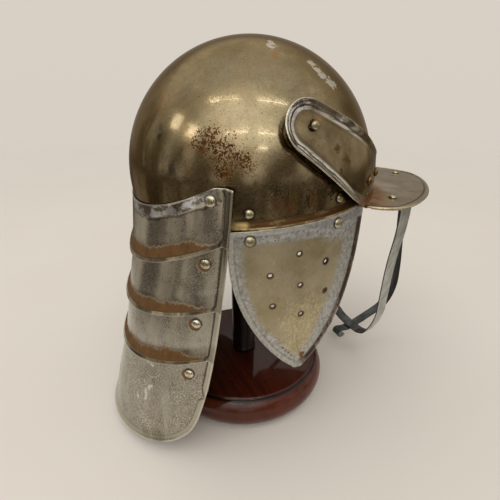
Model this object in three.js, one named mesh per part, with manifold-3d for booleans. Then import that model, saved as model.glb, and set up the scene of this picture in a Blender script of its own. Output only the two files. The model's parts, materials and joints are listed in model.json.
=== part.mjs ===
// Lobster-tail pot helmet on a turned wooden display stand
// Millimetres, +Z up, the helmet faces -Y, origin at the centre of the stand's underside.

import * as THREE from 'three';
import { mergeVertices } from 'three/addons/utils/BufferGeometryUtils.js';
import Module from 'manifold-3d';

// Where the helmet sits on its stand
const helmetForward = 8;          // skull centre ahead of the stand's axis
const helmetHeight = 251;         // skull centre above the table
const helmetTiltDeg = 3.9;        // the front of the skull is this much up

// Sheet metal and gaps
const sheet = 1.2;                // wall of every plate
const gap = 0.3;                  // running gap between neighbours

// Skull: a raised bowl with its brim turned out
const skullRadius = 112;
const brimDrop = 14;              // where the sphere ends, below its centre
const brimOut = 115.4;           // outer radius of the turned brim
const brimEdgeDrop = 19;          // top of the brim's edge, below the centre
const brimRearDeg = [112, 138];   // it dies away between these bearings, under the tail
const brimFrontDeg = [66, 52];    // and between these, behind the peak

// Brow plate: a band of radius browRadius with two round ears on the pivots
const browRadius = 119;
const browFront = 2.4;            // the front is bent this much closer
const browFrontDeg = [44, 76];    // between these bearings
const pivotForward = 2.4;
const pivotUp = 48;
const earForward = -0.8;          // centre of the ear's round end
const earUp = 46.4;
const earRadius = 18.1;
const topSlope = -0.585;          // side view, rise per forward mm of the upper edge
const lowSlope = -0.906;          // the same for the lower edge
const browCornerDeg = 64.2;       // where the lower edge meets the peak
const browBottom = 2.4;           // its front edge stays this far above the peak
const browRim = [5, 3.5];         // turned rim: width in the plate, lift out of it
const browRimFadeDeg = [48, 74];  // in front the upper rim fades to browRimFront
const browRimFront = 0.5;
const pinRadius = 2.6;
const pinHeadRadius = 4.4;

// Peak: a level plate before the brow with a flange turned up behind the brow plate
const peakRootInset = 1.8;        // its upturned flange is this far inside the brow plate's face
const peakRootDeg = 60.4;
const peakFlangeHeight = 11;
const peakAtCorner = -22.8;       // height of its top face at peakCornerForward
const peakCornerForward = 55.6;
const peakSlope = -0.106;
const peakCentreForward = 83.5;   // widest place
const peakHalfWidth = 115;
const peakReach = 128;            // from the widest place to the front
const peakRound = 1.5;            // exponent of its outline
const peakLipDrop = 1.7;          // the edge is turned down this far

// Face guard: a U of strip for the sides and one strip down the middle
const stripWidth = 12;
const stripThick = 1.2;
const sideLean = -0.183;          // forward mm per mm of height
const sideForwardTop = 97.4;
const sideTab = [84, 94, 103.5, 106.4];
const sideRoute = [[107.3, -34], [103.6, -47.2], [99.2, -61.2], [92.6, -79.2], [86.9, -95.5],
  [79.9, -118.4], [73, -143.2], [67.3, -163.7], [62.6, -178.2], [54.8, -194.5], [43.5, -212.8],
  [33.4, -226], [20.9, -233.8], [8, -236]]; // sideways and height, from the tab to the foot
const centreTab = [181, 192, 202];
const centreRoute = [[205, -43.2], [206.3, -48], [205.4, -70], [205, -95], [205.6, -122.7],
  [206.8, -153.8], [206.7, -171.9], [205.4, -190.3], [200.2, -206], [192, -217.6], [179.6, -225.4],
  [159.4, -232], [143.5, -236.8], [133, -239.2], [124, -239.6], [115.5, -237.8], [111.6, -240],
  [110.8, -243.6], [113.6, -247], [118, -247.4], [120.8, -244.4]]; // forward and height
const peakRivetSide = [88, 100.5];
const peakRivetCentre = 187.5;
const browRivets = [[58.7, -2.4], [45, -2.4]]; // bearing and height

// Cheek plates: shields bent to cheekRadius, hung by leather tabs
const cheekRadius = 116;
const cheekMidDeg = 92.2;
const cheekHalfDeg = 27.4;
const cheekTop = -21.8;           // below the skull's centre
const cheekTopSlope = 0.15;       // mm per degree towards the front
const cheekTip = -151;
const cheekLean = 4;              // the tip stands this much nearer the neck
const cheekRim = [3.6, 2.4];
const holeRadius = 1.6;
const holeRing = 28.2;
const holeMid = [93.4, -72.2];    // bearing and height of the middle hole
const holeTurnDeg = -5.8;
const cheekRivets = { rear: [113.8, -31], front: [78, -24.6] };
const skullRivets = { rear: [114.5, -8.6], front: [76.1, -8.4] };
const tabWidth = 13;
const tabThick = 2;

// Tail: four lames on one flaring surface, each bent to an arc through its
// two sides and its spine; across is the share of that arc, 1 at the sides
const tailSide = [98.5, 64.3];    // sideways and back
const tailSpine = [[12, 113.2], [-19, 112], [-67.3, 117.2], [-112.4, 126.2], [-161, 135.4],
  [-206, 148.4], [-240, 156.5]];  // height and back
const tailCrease = [[12, 1.028], [-26, 0.998], [-68, 0.952], [-110, 0.905], [-146, 0.86],
  [-169, 0.826]];                 // height and across, where the side rim turns out
const tailFoot = [[0, -236.6], [0.148, -236.4], [0.295, -235.6], [0.44, -233.4], [0.565, -229],
  [0.67, -221], [0.75, -206], [0.826, -169]]; // across and height round the bottom
const lameEdges = [               // height at the spine and, bowed up, at across 1
  { spine: -18.2, side: 11.2, bow: 2.1, most: 8 },
  { spine: -69.3, side: -34, bow: 1.6 },
  { spine: -115.2, side: -88, bow: 1.5 },
  { spine: -162.2, side: -133.8, bow: 1.6 },
];
const lameLap = 6;                // each lame runs this far up under the one above
const lameTuck = 1.2;             // and this far in
const lameFlare = [3.4, 1.9];     // the lower edge stands out, at the spine and at the sides
const lameFlareRun = 15;
const tailRim = [5, 3];           // width in the surface and lift out of it
const tailFootLift = 1.6;
const tailRivets = [[0.922, -1.3], [0.87, -50.8], [0.794, -105.3], [0.738, -156]]; // across, height

// Rivet heads
const rivetRadius = 3.4;
const rivetDome = 2.5;

// Stand
const baseRadius = 91.6;
const baseHeight = 38;
const basePlateRadius = 84;
const columnRadius = 12.8;
const capRadius = 34;
const capGap = 0.7;               // the skull's facets come this near
const capCurve = 60;              // radius of the cap's domed top

const rad = THREE.MathUtils.degToRad;
const wasm = await Module();
wasm.setup();

const finish = {
  nickel: [0x8a7a58, 0.32, 1.0],
  brownNickel: [0x6e5f40, 0.36, 1.0],
  steel: [0x9c978a, 0.42, 1.0],
  strip: [0x8f9090, 0.5, 0.9],
  brass: [0xc8b98c, 0.3, 1.0],
  leather: [0x1b1714, 0.8, 0.0],
  mahogany: [0x4a1a10, 0.25, 0.0],
  blackWood: [0x120c0a, 0.3, 0.0],
};

function addMesh(parent, name, geometry, look) {
  const [color, roughness, metalness] = finish[look];
  const material = new THREE.MeshStandardMaterial({ color, roughness, metalness });
  const mesh = new THREE.Mesh(geometry, material);
  mesh.name = name;
  parent.add(mesh);
  return mesh;
}

// A point given by its bearing from the front (positive to the helmet's right),
// its distance from the axis and its height
function around(deg, radius, height) {
  return new THREE.Vector3(-radius * Math.sin(rad(deg)), -radius * Math.cos(rad(deg)), height);
}

function table(rows, at) {
  let [from, to] = [rows[0], rows[1]];
  for (let i = 1; i < rows.length; i += 1) {
    [from, to] = [rows[i - 1], rows[i]];
    if (at >= to[0]) break;
  }
  return from[1] + (to[1] - from[1]) * (at - from[0]) / (to[0] - from[0]);
}

// Joins merged position-only geometry to a solid and back
function toSolid(geometry) {
  const merged = weld(geometry);
  return new wasm.Manifold(new wasm.Mesh({
    numProp: 3,
    vertProperties: new Float32Array(merged.attributes.position.array),
    triVerts: new Uint32Array(merged.index.array),
  }));
}

function fromSolid(solid) {
  const mesh = solid.getMesh();
  const geometry = new THREE.BufferGeometry();
  geometry.setAttribute('position', new THREE.BufferAttribute(mesh.vertProperties, 3));
  geometry.setIndex(new THREE.BufferAttribute(mesh.triVerts, 1));
  return geometry;
}

function weld(geometry) {
  geometry.deleteAttribute('normal');
  geometry.deleteAttribute('uv');
  const merged = mergeVertices(geometry, 1e-4);
  const index = [];
  for (let i = 0; i < merged.index.count; i += 3) {
    const [a, b, c] = [0, 1, 2].map((k) => merged.index.getX(i + k));
    if (a !== b && b !== c && c !== a) index.push(a, b, c);
  }
  merged.setIndex(index);
  return merged;
}

function volume(geometry) {
  const place = geometry.attributes.position;
  const [a, b, c] = [new THREE.Vector3(), new THREE.Vector3(), new THREE.Vector3()];
  let sum = 0;
  for (let i = 0; i < geometry.index.count; i += 3) {
    a.fromBufferAttribute(place, geometry.index.getX(i));
    b.fromBufferAttribute(place, geometry.index.getX(i + 1));
    c.fromBufferAttribute(place, geometry.index.getX(i + 2));
    sum += a.dot(b.cross(c));
  }
  return sum / 6;
}

// Turns a closed surface right side out
function faceOut(geometry) {
  if (volume(geometry) > 0) return geometry;
  const index = geometry.index.array;
  for (let i = 0; i < index.length; i += 3) [index[i], index[i + 1]] = [index[i + 1], index[i]];
  return geometry;
}

function lathe(profile, segments) {
  const points = profile.map(([r, z]) => new THREE.Vector2(r, z));
  const geometry = new THREE.LatheGeometry(points, segments);
  geometry.rotateX(Math.PI / 2);
  return faceOut(weld(geometry));
}

// Normal of a grid of points at row i, column j, on the side away from inside
function gridNormal(grid, i, j, inside) {
  const rows = grid.length;
  const columns = grid[0].length;
  const down = grid[Math.min(i + 1, rows - 1)][j].clone().sub(grid[Math.max(i - 1, 0)][j]);
  const across = grid[i][Math.min(j + 1, columns - 1)].clone().sub(grid[i][Math.max(j - 1, 0)]);
  const normal = down.cross(across).normalize();
  if (normal.dot(grid[i][j].clone().sub(inside)) < 0) normal.negate();
  return normal;
}

// Adds a turned rim along the left, right and bottom of a grid; rimAt(side, k) gives
// its width in the surface and its lift out of it
function withRim(grid, sides, inside, rimAt) {
  const last = grid.length - 1;
  const end = grid[0].length - 1;
  const shift = (i, j, side) => {
    const normal = gridNormal(grid, i, j, inside);
    const upright = side !== 'bottom';
    const along = upright
      ? grid[Math.min(i + 1, last)][j].clone().sub(grid[Math.max(i - 1, 0)][j])
      : grid[i][Math.min(j + 1, end)].clone().sub(grid[i][Math.max(j - 1, 0)]);
    const inner = { left: [i, 1], right: [i, end - 1], bottom: [last - 1, j] }[side];
    const out = along.cross(normal).normalize();
    if (out.dot(grid[i][j].clone().sub(grid[inner[0]][inner[1]])) < 0) out.negate();
    const [width, lift] = rimAt(side, upright ? i : j);
    return out.multiplyScalar(width).addScaledVector(normal, lift);
  };
  const rimPoint = (i, j, side) => grid[i][j].clone().add(shift(i, j, side));
  const rimmed = grid.map((row, i) => {
    const line = row.map((p) => p.clone());
    if (sides.includes('left')) line.unshift(rimPoint(i, 0, 'left'));
    if (sides.includes('right')) line.push(rimPoint(i, end, 'right'));
    return line;
  });
  if (!sides.includes('bottom')) return rimmed;
  // the side rims run round into the bottom one through a single corner point
  const foot = grid[last].map((p, j) => rimPoint(last, j, 'bottom'));
  [['left', 0], ['right', end]].forEach(([side, j]) => {
    if (!sides.includes(side)) return;
    const corner = rimPoint(last, j, side).lerp(foot[j], 0.5);
    foot[j] = corner;
    if (side === 'left') {
      rimmed[last][0] = corner;
      foot.unshift(corner);
    } else {
      rimmed[last][rimmed[last].length - 1] = corner;
      foot.push(corner);
    }
  });
  rimmed.push(foot);
  return rimmed;
}

// A closed wall of the given thickness under a grid of outer points
function shell(grid, thickness, inside) {
  const columns = grid[0].length;
  const outer = new THREE.BufferGeometry();
  const place = grid.flatMap((row) => row.flatMap((p) => [p.x, p.y, p.z]));
  outer.setAttribute('position', new THREE.Float32BufferAttribute(place, 3));
  const index = [];
  for (let i = 0; i < grid.length - 1; i += 1) {
    for (let j = 0; j < columns - 1; j += 1) {
      const [a, b, c, d] = [[i, j], [i + 1, j], [i + 1, j + 1], [i, j + 1]].map(([m, n]) => m * columns + n);
      const even = grid[i][j].distanceTo(grid[i + 1][j + 1]) <= grid[i + 1][j].distanceTo(grid[i][j + 1]);
      if (even) index.push(a, b, c, a, c, d);
      else index.push(a, b, d, b, c, d);
    }
  }
  outer.setIndex(index);
  const sheetSide = weld(outer);
  sheetSide.computeVertexNormals();
  const { position, normal } = sheetSide.attributes;
  const [p, n] = [new THREE.Vector3(), new THREE.Vector3()];
  let facing = 0;
  for (let i = 0; i < position.count; i += 1) {
    p.fromBufferAttribute(position, i).sub(inside);
    facing += p.dot(n.fromBufferAttribute(normal, i));
  }
  const way = facing > 0 ? -thickness : thickness;
  const count = position.count;
  const points = Array.from(position.array);
  for (let i = 0; i < count; i += 1) {
    p.fromBufferAttribute(position, i).addScaledVector(n.fromBufferAttribute(normal, i), way);
    points.push(p.x, p.y, p.z);
  }
  const faces = sheetSide.index.array;
  const solid = Array.from(faces);
  const edges = new Map();
  for (let f = 0; f < faces.length; f += 3) {
    const corner = [faces[f], faces[f + 1], faces[f + 2]];
    solid.push(corner[0] + count, corner[2] + count, corner[1] + count);
    corner.forEach((a, k) => {
      const b = corner[(k + 1) % 3];
      if (edges.has(`${b},${a}`)) edges.delete(`${b},${a}`);
      else edges.set(`${a},${b}`, [a, b]);
    });
  }
  edges.forEach(([a, b]) => solid.push(b, a, a + count, b, a + count, b + count));
  const geometry = new THREE.BufferGeometry();
  geometry.setAttribute('position', new THREE.Float32BufferAttribute(points, 3));
  geometry.setIndex(solid);
  return faceOut(geometry);
}

// A flat strip of metal or leather along a line of points; widthWays holds the
// direction of its width at each point, or one for all
function strap(points, widthWays, width, thickness) {
  const place = [];
  points.forEach((p, i) => {
    const before = points[Math.max(i - 1, 0)];
    const after = points[Math.min(i + 1, points.length - 1)];
    const along = after.clone().sub(before).normalize();
    const side = (Array.isArray(widthWays) ? widthWays[i] : widthWays).clone().normalize();
    const flat = side.clone().cross(along).normalize();
    [[1, 1], [1, -1], [-1, -1], [-1, 1]].forEach(([w, t]) => {
      const q = p.clone().addScaledVector(side, w * width / 2).addScaledVector(flat, t * thickness / 2);
      place.push(q.x, q.y, q.z);
    });
  });
  const index = [];
  for (let i = 0; i < points.length - 1; i += 1) {
    for (let k = 0; k < 4; k += 1) {
      const [a, b] = [i * 4 + k, i * 4 + (k + 1) % 4];
      index.push(a, b, b + 4, a, b + 4, a + 4);
    }
  }
  const end = (points.length - 1) * 4;
  index.push(0, 2, 1, 0, 3, 2, end, end + 1, end + 2, end, end + 2, end + 3);
  const geometry = new THREE.BufferGeometry();
  geometry.setAttribute('position', new THREE.Float32BufferAttribute(place, 3));
  geometry.setIndex(index);
  return faceOut(geometry);
}

// A domed rivet head seated on a face at point, looking along normal
function rivetHead(point, normal, radius = rivetRadius, dome = rivetDome) {
  const profile = [[0, 0], [radius, 0], [radius * 0.93, dome * 0.45], [radius * 0.6, dome * 0.85], [0, dome]];
  const geometry = lathe(profile, 8);
  const turn = new THREE.Quaternion().setFromUnitVectors(new THREE.Vector3(0, 0, 1), normal);
  geometry.applyQuaternion(turn);
  const seat = point.clone().addScaledVector(normal, gap);
  geometry.translate(seat.x, seat.y, seat.z);
  return geometry;
}

const centre = new THREE.Vector3(0, 0, 0);
const helmet = new THREE.Group();
helmet.position.set(0, -helmetForward, helmetHeight);
const tilted = new THREE.Group();
tilted.rotation.x = -rad(helmetTiltDeg);
helmet.add(tilted);

// Skull
function skullProfile() {
  const profile = [];
  const wall = (radius, steps, from, to) => {
    for (let i = 0; i <= steps; i += 1) {
      const up = from + (to - from) * i / steps;
      profile.push([radius * Math.cos(up), radius * Math.sin(up)]);
    }
  };
  const low = -Math.asin(brimDrop / skullRadius);
  wall(skullRadius, 11, Math.PI / 2, low);
  profile.push([brimOut - 2.4, -brimEdgeDrop + 1.6], [brimOut, -brimEdgeDrop]);
  profile.push([brimOut, -brimEdgeDrop - sheet], [brimOut - 3.4, -brimEdgeDrop + 0.1]);
  wall(skullRadius - sheet, 11, low, Math.PI / 2);
  profile[0][0] = 0;
  profile[profile.length - 1][0] = 0;
  return profile;
}

// Draws the brim in towards the bowl where the tail and the peak cover it
function fadeBrim(geometry) {
  const place = geometry.attributes.position;
  const bowl = Math.sqrt(skullRadius ** 2 - brimDrop ** 2);
  for (let i = 0; i < place.count; i += 1) {
    const [x, y, z] = [place.getX(i), place.getY(i), place.getZ(i)];
    const deg = Math.abs(THREE.MathUtils.radToDeg(Math.atan2(x, -y)));
    const rear = THREE.MathUtils.smoothstep(deg, ...brimRearDeg);
    const front = 1 - THREE.MathUtils.smoothstep(deg, brimFrontDeg[1], brimFrontDeg[0]);
    const fade = Math.max(rear, front);
    if (z > -brimDrop - 0.5 || fade === 0) continue;
    const radius = Math.hypot(x, y);
    const plain = bowl - 0.5 - (radius < bowl ? sheet : 0);
    const scale = (radius + (Math.min(plain, radius) - radius) * fade) / radius;
    place.setXYZ(i, x * scale, y * scale, z);
  }
  return geometry;
}
addMesh(tilted, 'skull', fadeBrim(lathe(skullProfile(), 48)), 'nickel');

// Brow plate: a cylinder below the skull's centre and a sphere above it
function browRadiusAt(deg, z) {
  const face = browRadius - browFront * (1 - THREE.MathUtils.smoothstep(Math.abs(deg), ...browFrontDeg));
  return z > 0 ? Math.sqrt(face ** 2 - z * z) : face;
}

// A point of it given in side view, f forward
function onBrow(f, z) {
  const deg = THREE.MathUtils.radToDeg(Math.acos(Math.min(f / browRadiusAt(90, z), 1)));
  return around(deg, browRadiusAt(deg, z), z);
}

// The edge that leaves the ear with the given slope, met at a bearing
function browEdge(slope, side, inset, deg) {
  const reach = (earRadius - inset) * Math.hypot(1, slope) * side;
  let z = earUp;
  for (let i = 0; i < 30; i += 1) {
    const f = browRadiusAt(90, z) * Math.cos(rad(deg));
    z += 0.6 * (earUp + slope * (f - earForward) + reach - z);
  }
  return around(deg, browRadiusAt(deg, z), z);
}

function peakTop(forward) {
  return peakAtCorner + peakSlope * (forward - peakCornerForward);
}

function bearingOf(p) {
  return THREE.MathUtils.radToDeg(Math.atan2(-p.x, -p.y));
}

const browSteps = { front: 7, side: 5, ear: 4 };

// Half of the plate without its rim: columns of points from the lower edge to the upper
function browColumns() {
  const upFrom = THREE.MathUtils.radToDeg(Math.atan2(1, -topSlope));
  const lowFrom = THREE.MathUtils.radToDeg(Math.atan2(-1, lowSlope)) + 360;
  const width = browRim[0];
  const earPoint = (deg) => onBrow(
    earForward + (earRadius - width) * Math.cos(rad(deg)),
    earUp + (earRadius - width) * Math.sin(rad(deg)));
  const columns = [];
  const fill = (low, high) => {
    const line = [];
    for (let k = 0; k <= 3; k += 1) {
      const deg = bearingOf(low) + (bearingOf(high) - bearingOf(low)) * k / 3;
      const z = low.z + (high.z - low.z) * k / 3;
      line.push(around(deg, browRadiusAt(deg, z), z));
    }
    return line;
  };
  for (let i = 0; i <= browSteps.front; i += 1) {
    const deg = browCornerDeg * i / browSteps.front;
    const face = browRadiusAt(deg, 0);
    const low = around(deg, face, peakTop(face * Math.cos(rad(deg))) + browBottom + 1.6);
    columns.push(fill(low, browEdge(topSlope, 1, width, deg)));
  }
  const lowEnd = bearingOf(earPoint(lowFrom));
  const highEnd = bearingOf(earPoint(upFrom));
  for (let i = 1; i <= browSteps.side; i += 1) {
    const share = i / browSteps.side;
    const low = browEdge(lowSlope, -1, width, browCornerDeg + (lowEnd - browCornerDeg) * share);
    const high = browEdge(topSlope, 1, width, browCornerDeg + (highEnd - browCornerDeg) * share);
    columns.push(fill(low, high));
  }
  const middle = (upFrom + lowFrom) / 2;
  for (let i = 1; i <= browSteps.ear; i += 1) {
    const share = 0.84 * i / browSteps.ear;
    columns.push(fill(
      earPoint(lowFrom + (middle - lowFrom) * share),
      earPoint(upFrom + (middle - upFrom) * share)));
  }
  return columns;
}

function browPlate() {
  const half = browColumns();
  const mirrored = half.slice(1).reverse().map((line) => line.map((p) => new THREE.Vector3(-p.x, p.y, p.z)));
  // each row of the grid runs from the lower edge (left) to the upper edge (right)
  const grid = mirrored.concat(half);
  const middle = half.length - 1;
  const rimAt = (side, k) => {
    const column = Math.abs(k - middle);
    if (side === 'bottom') return browRim;
    if (side === 'right') {
      const deg = Math.abs(bearingOf(grid[k][grid[k].length - 1]));
      const share = THREE.MathUtils.smoothstep(deg, ...browRimFadeDeg);
      return [browRim[0], browRimFront + (browRim[1] - browRimFront) * share];
    }
    if (column < browSteps.front) return [1.6, 0];
    if (column === browSteps.front) return [1.8, 0.3];
    return browRim;
  };
  const oneEnd = withRim(grid, ['left', 'right', 'bottom'], centre, rimAt);
  const otherEnd = withRim(grid.slice().reverse(), ['left', 'right', 'bottom'], centre, rimAt);
  // the second pass only supplies the rim of the other ear
  const rows = oneEnd.length;
  otherEnd[rows - 2][0] = otherEnd[rows - 1][0];
  oneEnd[0] = otherEnd[rows - 2];
  return shell([otherEnd[rows - 1], ...oneEnd], sheet, centre);
}

function crossPin(radius, from, to) {
  const geometry = lathe([[0, from], [radius, from], [radius, to], [0, to]], 12);
  geometry.rotateY(-Math.PI / 2);
  return geometry;
}

const visor = new THREE.Group();
tilted.add(visor);

const pinInner = Math.sqrt(skullRadius ** 2 - (pivotUp - pinRadius) ** 2) + gap;
const browAtPin = Math.sqrt(browRadius ** 2 - (pivotUp - pinHeadRadius) ** 2);
const pinSeat = browAtPin + gap;

// The pin stands on the skull, passes the ear and ends in a domed head
function pivotPin(side) {
  const profile = [
    [0, pinInner], [pinRadius, pinInner], [pinRadius, pinSeat], [pinHeadRadius, pinSeat],
    [pinHeadRadius * 0.93, pinSeat + 1.2], [pinHeadRadius * 0.6, pinSeat + 2.2], [0, pinSeat + 2.6],
  ];
  const geometry = lathe(profile, 12);
  geometry.rotateY(side * Math.PI / 2);
  geometry.translate(0, -pivotForward, pivotUp);
  return geometry;
}

let brow = toSolid(browPlate());
[-1, 1].forEach((side) => {
  const bore = crossPin(pinRadius + gap, -side * 130, -side * 90);
  brow = brow.subtract(toSolid(faceOut(bore.translate(0, -pivotForward, pivotUp))));
});
addMesh(visor, 'brow_plate', faceOut(fromSolid(brow)), 'brownNickel');
addMesh(tilted, 'pivot_pin_right', pivotPin(-1), 'brass');
addMesh(tilted, 'pivot_pin_left', pivotPin(1), 'brass');

// Peak
function peakOutline(part) {
  // part runs from -1 at the left corner to 1 at the right corner
  const side = Math.sign(part) || 1;
  const straight = 0.86;
  const share = Math.abs(part);
  if (share <= straight) {
    const turn = Math.PI / 2 * share / straight;
    const l = peakHalfWidth * Math.sin(turn) ** (2 / peakRound);
    const f = peakCentreForward + peakReach * Math.cos(turn) ** (2 / peakRound);
    return [side * l, f];
  }
  const back = (share - straight) / (1 - straight);
  return [side * (peakHalfWidth - 9.5 * back * back), peakCentreForward - 22 * back];
}

function peakGrid() {
  const columns = [];
  const steps = 12;
  for (let i = -steps; i <= steps; i += 1) {
    const part = i / steps;
    const deg = peakRootDeg * part;
    const [rim, forward] = peakOutline(part);
    const face = browRadiusAt(deg, 0) - peakRootInset;
    const root = peakTop(face * Math.cos(rad(deg)));
    const line = [
      around(deg, face, root + peakFlangeHeight),
      around(deg, face, root + 2.2),
      around(deg, face + 0.6, root + 0.7),
    ];
    const start = around(deg, face + 2.2, root);
    start.z = peakTop(-start.y);
    line.push(start);
    const end = new THREE.Vector3(-rim, -forward, peakTop(forward));
    const reach = end.clone().sub(start).length();
    [0.35, 0.7, 1 - 1.5 / reach].forEach((share) => line.push(start.clone().lerp(end, share)));
    line.push(end.clone().add(new THREE.Vector3(0, 0, -peakLipDrop)));
    columns.push(line);
  }
  return columns;
}
const belowPeak = new THREE.Vector3(0, -60, -80);
addMesh(visor, 'peak', shell(peakGrid(), sheet, belowPeak), 'brownNickel');

// Face guard
const underPeak = (forward) => peakTop(forward) - sheet - gap - stripThick / 2 - 0.1;
const sidePlace = (l, z) => new THREE.Vector3(-l, -(sideForwardTop + sideLean * (z - sideRoute[0][1])), z);

function sideStrip() {
  const alongPeak = new THREE.Vector3(0, -1, peakSlope);
  const alongGuard = new THREE.Vector3(0, -1, -sideLean);
  const tabHeight = underPeak(sideForwardTop);
  const half = [];
  sideTab.forEach((l, k) => half.push([new THREE.Vector3(-l, -sideForwardTop, tabHeight - (k === 3 ? 0.8 : 0)),
    alongPeak.clone().lerp(alongGuard, k === 3 ? 0.5 : 0)]));
  sideRoute.forEach(([l, z]) => half.push([sidePlace(l, z), alongGuard]));
  const other = half.slice().reverse().map(([p, way]) => [new THREE.Vector3(-p.x, p.y, p.z), way]);
  const route = half.concat([[sidePlace(0, sideRoute[sideRoute.length - 1][1] - 0.3), alongGuard]], other);
  return strap(route.map(([p]) => p), route.map(([, way]) => way), stripWidth, stripThick);
}

function centreStrip() {
  const tab = centreTab.map((forward) => [forward, underPeak(forward)]);
  const points = tab.concat(centreRoute).map(([forward, z]) => new THREE.Vector3(0, -forward, z));
  return strap(points, new THREE.Vector3(1, 0, 0), stripWidth, stripThick);
}
addMesh(visor, 'side_guard_strip', sideStrip(), 'strip');
addMesh(visor, 'centre_guard_strip', centreStrip(), 'strip');

const peakNormal = new THREE.Vector3(0, peakSlope, 1).normalize();
const peakPoint = (l, f) => new THREE.Vector3(-l, -f, peakTop(f));
const peakRivets = [
  ['peak_rivet_right', peakRivetSide[0], peakRivetSide[1]],
  ['peak_rivet_left', -peakRivetSide[0], peakRivetSide[1]],
  ['peak_rivet_centre', 0, peakRivetCentre],
];
peakRivets.forEach(([name, l, f]) => {
  addMesh(visor, name, rivetHead(peakPoint(l, f), peakNormal), 'brass');
});

// Rivets of the brow plate
[['right', 1], ['left', -1]].forEach(([sideName, side]) => {
  browRivets.forEach(([deg, z], k) => {
    const seat = around(side * deg, browRadiusAt(deg, z), z);
    const head = rivetHead(seat, around(side * deg, 1, 0));
    addMesh(visor, `brow_rivet_${sideName}_${k + 1}`, head, 'brass');
  });
});

// Cheek plates
function cheekPoint(deg, height) {
  const down = THREE.MathUtils.clamp((cheekTop - height) / (cheekTop - cheekTip), 0, 1);
  return around(deg, cheekRadius - cheekLean * down, height);
}
const cheekInside = new THREE.Vector3(0, 0, cheekTip / 2);

function cheekGrid(side) {
  const rows = [];
  const steps = 12;
  const cells = 6;
  for (let i = 0; i <= steps; i += 1) {
    const up = 1 - Math.sin(Math.PI / 2 * i / steps) ** 0.9;
    const half = Math.max(cheekHalfDeg * Math.sin(Math.PI / 2 * Math.min(1, up / 0.85) ** 0.8), 1.3);
    const line = [];
    for (let j = 0; j <= cells; j += 1) {
      const off = half * (2 * j / cells - 1);
      const top = cheekTop - cheekTopSlope * off;
      line.push(cheekPoint(side * (cheekMidDeg + off), cheekTip + (top - cheekTip) * up));
    }
    rows.push(line);
  }
  return withRim(rows, ['left', 'right', 'bottom'], cheekInside, () => cheekRim);
}

function cheekPlate(side) {
  let plate = toSolid(shell(cheekGrid(side), sheet, cheekInside));
  const places = [[0, 0]];
  for (let k = 0; k < 6; k += 1) places.push([rad(90 + holeTurnDeg + 60 * k), holeRing]);
  places.forEach(([turn, ring]) => {
    const across = THREE.MathUtils.radToDeg(ring * Math.cos(turn) / cheekRadius);
    const geometry = lathe([[0, 90], [holeRadius, 90], [holeRadius, 130], [0, 130]], 8);
    const way = around(side * (holeMid[0] + across), 1, 0);
    geometry.applyQuaternion(new THREE.Quaternion().setFromUnitVectors(new THREE.Vector3(0, 0, 1), way));
    geometry.translate(0, 0, holeMid[1] + ring * Math.sin(turn));
    plate = plate.subtract(toSolid(geometry));
  });
  return faceOut(fromSolid(plate));
}

// A leather tab from inside the bowl, past the brim, to inside the cheek plate
function leatherTab(deg, height) {
  const lean = -Math.cos(rad(deg)) * cheekRadius * Math.sin(-rad(helmetTiltDeg));
  const bowl = skullRadius - sheet - gap - 1.6 - tabThick / 2;
  const cheek = cheekRadius - sheet - gap - 0.9 - tabThick / 2;
  const points = [
    around(deg, bowl, 1 + lean), around(deg, bowl, -8 + lean), around(deg, bowl - 0.4, -15 + lean),
    around(deg, bowl + 0.6, -20 + lean), around(deg, cheek - 1.4, -26 + lean * 0.6),
    around(deg, cheek - 0.2, height), around(deg, cheek - 0.6, height - 9),
  ];
  return strap(points, around(deg + 90, 1, 0), tabWidth, tabThick);
}

const cheekSides = [['right', 1], ['left', -1]];
cheekSides.forEach(([sideName, side]) => {
  addMesh(helmet, `cheek_plate_${sideName}`, cheekPlate(side), 'steel');
  ['rear', 'front'].forEach((endName) => {
    const name = `${sideName}_${endName}`;
    const [deg, height] = cheekRivets[endName];
    const seat = cheekPoint(side * deg, height);
    addMesh(helmet, `cheek_rivet_${name}`, rivetHead(seat, around(side * deg, 1, 0)), 'brass');
    const [skullDeg, skullHeight] = skullRivets[endName];
    const skullSeat = around(side * skullDeg, Math.sqrt(skullRadius ** 2 - skullHeight ** 2), skullHeight);
    addMesh(tilted, `skull_rivet_${name}`, rivetHead(skullSeat, skullSeat.clone().normalize()), 'brass');
    addMesh(helmet, `cheek_tab_${name}`, leatherTab(side * deg, height), 'leather');
  });
});

// Tail
function tailSurface(across, height, lift) {
  const spine = table(tailSpine, height);
  const [halfWidth, sideBack] = tailSide;
  const rise = spine - sideBack;
  const radius = (halfWidth ** 2 + rise ** 2) / (2 * rise);
  const mid = spine - radius;
  const turn = across * Math.atan2(halfWidth, sideBack - mid);
  return new THREE.Vector3(-(radius + lift) * Math.sin(turn), mid + (radius + lift) * Math.cos(turn), height);
}

// The share of the arc and the height of a lame's edge at k, from -1 to 1 across the lame
function lameEdge({ spine, side, bow, most = Infinity }, k, above = 0) {
  let across = k;
  let height = spine;
  for (let i = 0; i < 12; i += 1) {
    height = Math.min(spine + above + (side - spine) * Math.abs(across) ** bow, most);
    across = k * table(tailCrease, height);
  }
  return [across, height];
}

function footEdge(k) {
  const share = Math.abs(k) * (tailFoot.length - 1);
  const from = Math.min(Math.floor(share), tailFoot.length - 2);
  const row = (n) => (n < 0 ? [-tailFoot[-n][0], tailFoot[-n][1]] : tailFoot[Math.min(n, tailFoot.length - 1)]);
  const t = share - from;
  const [a, b, c, d] = [-1, 0, 1, 2].map((n) => row(from + n));
  const [across, height] = [0, 1].map((n) => 0.5 * (2 * b[n] + (c[n] - a[n]) * t
    + (2 * a[n] - 5 * b[n] + 4 * c[n] - d[n]) * t * t + (3 * b[n] - a[n] - 3 * c[n] + d[n]) * t ** 3));
  return [Math.sign(k) * across, height];
}

const tailInside = new THREE.Vector3(0, 40, -100);

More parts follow.
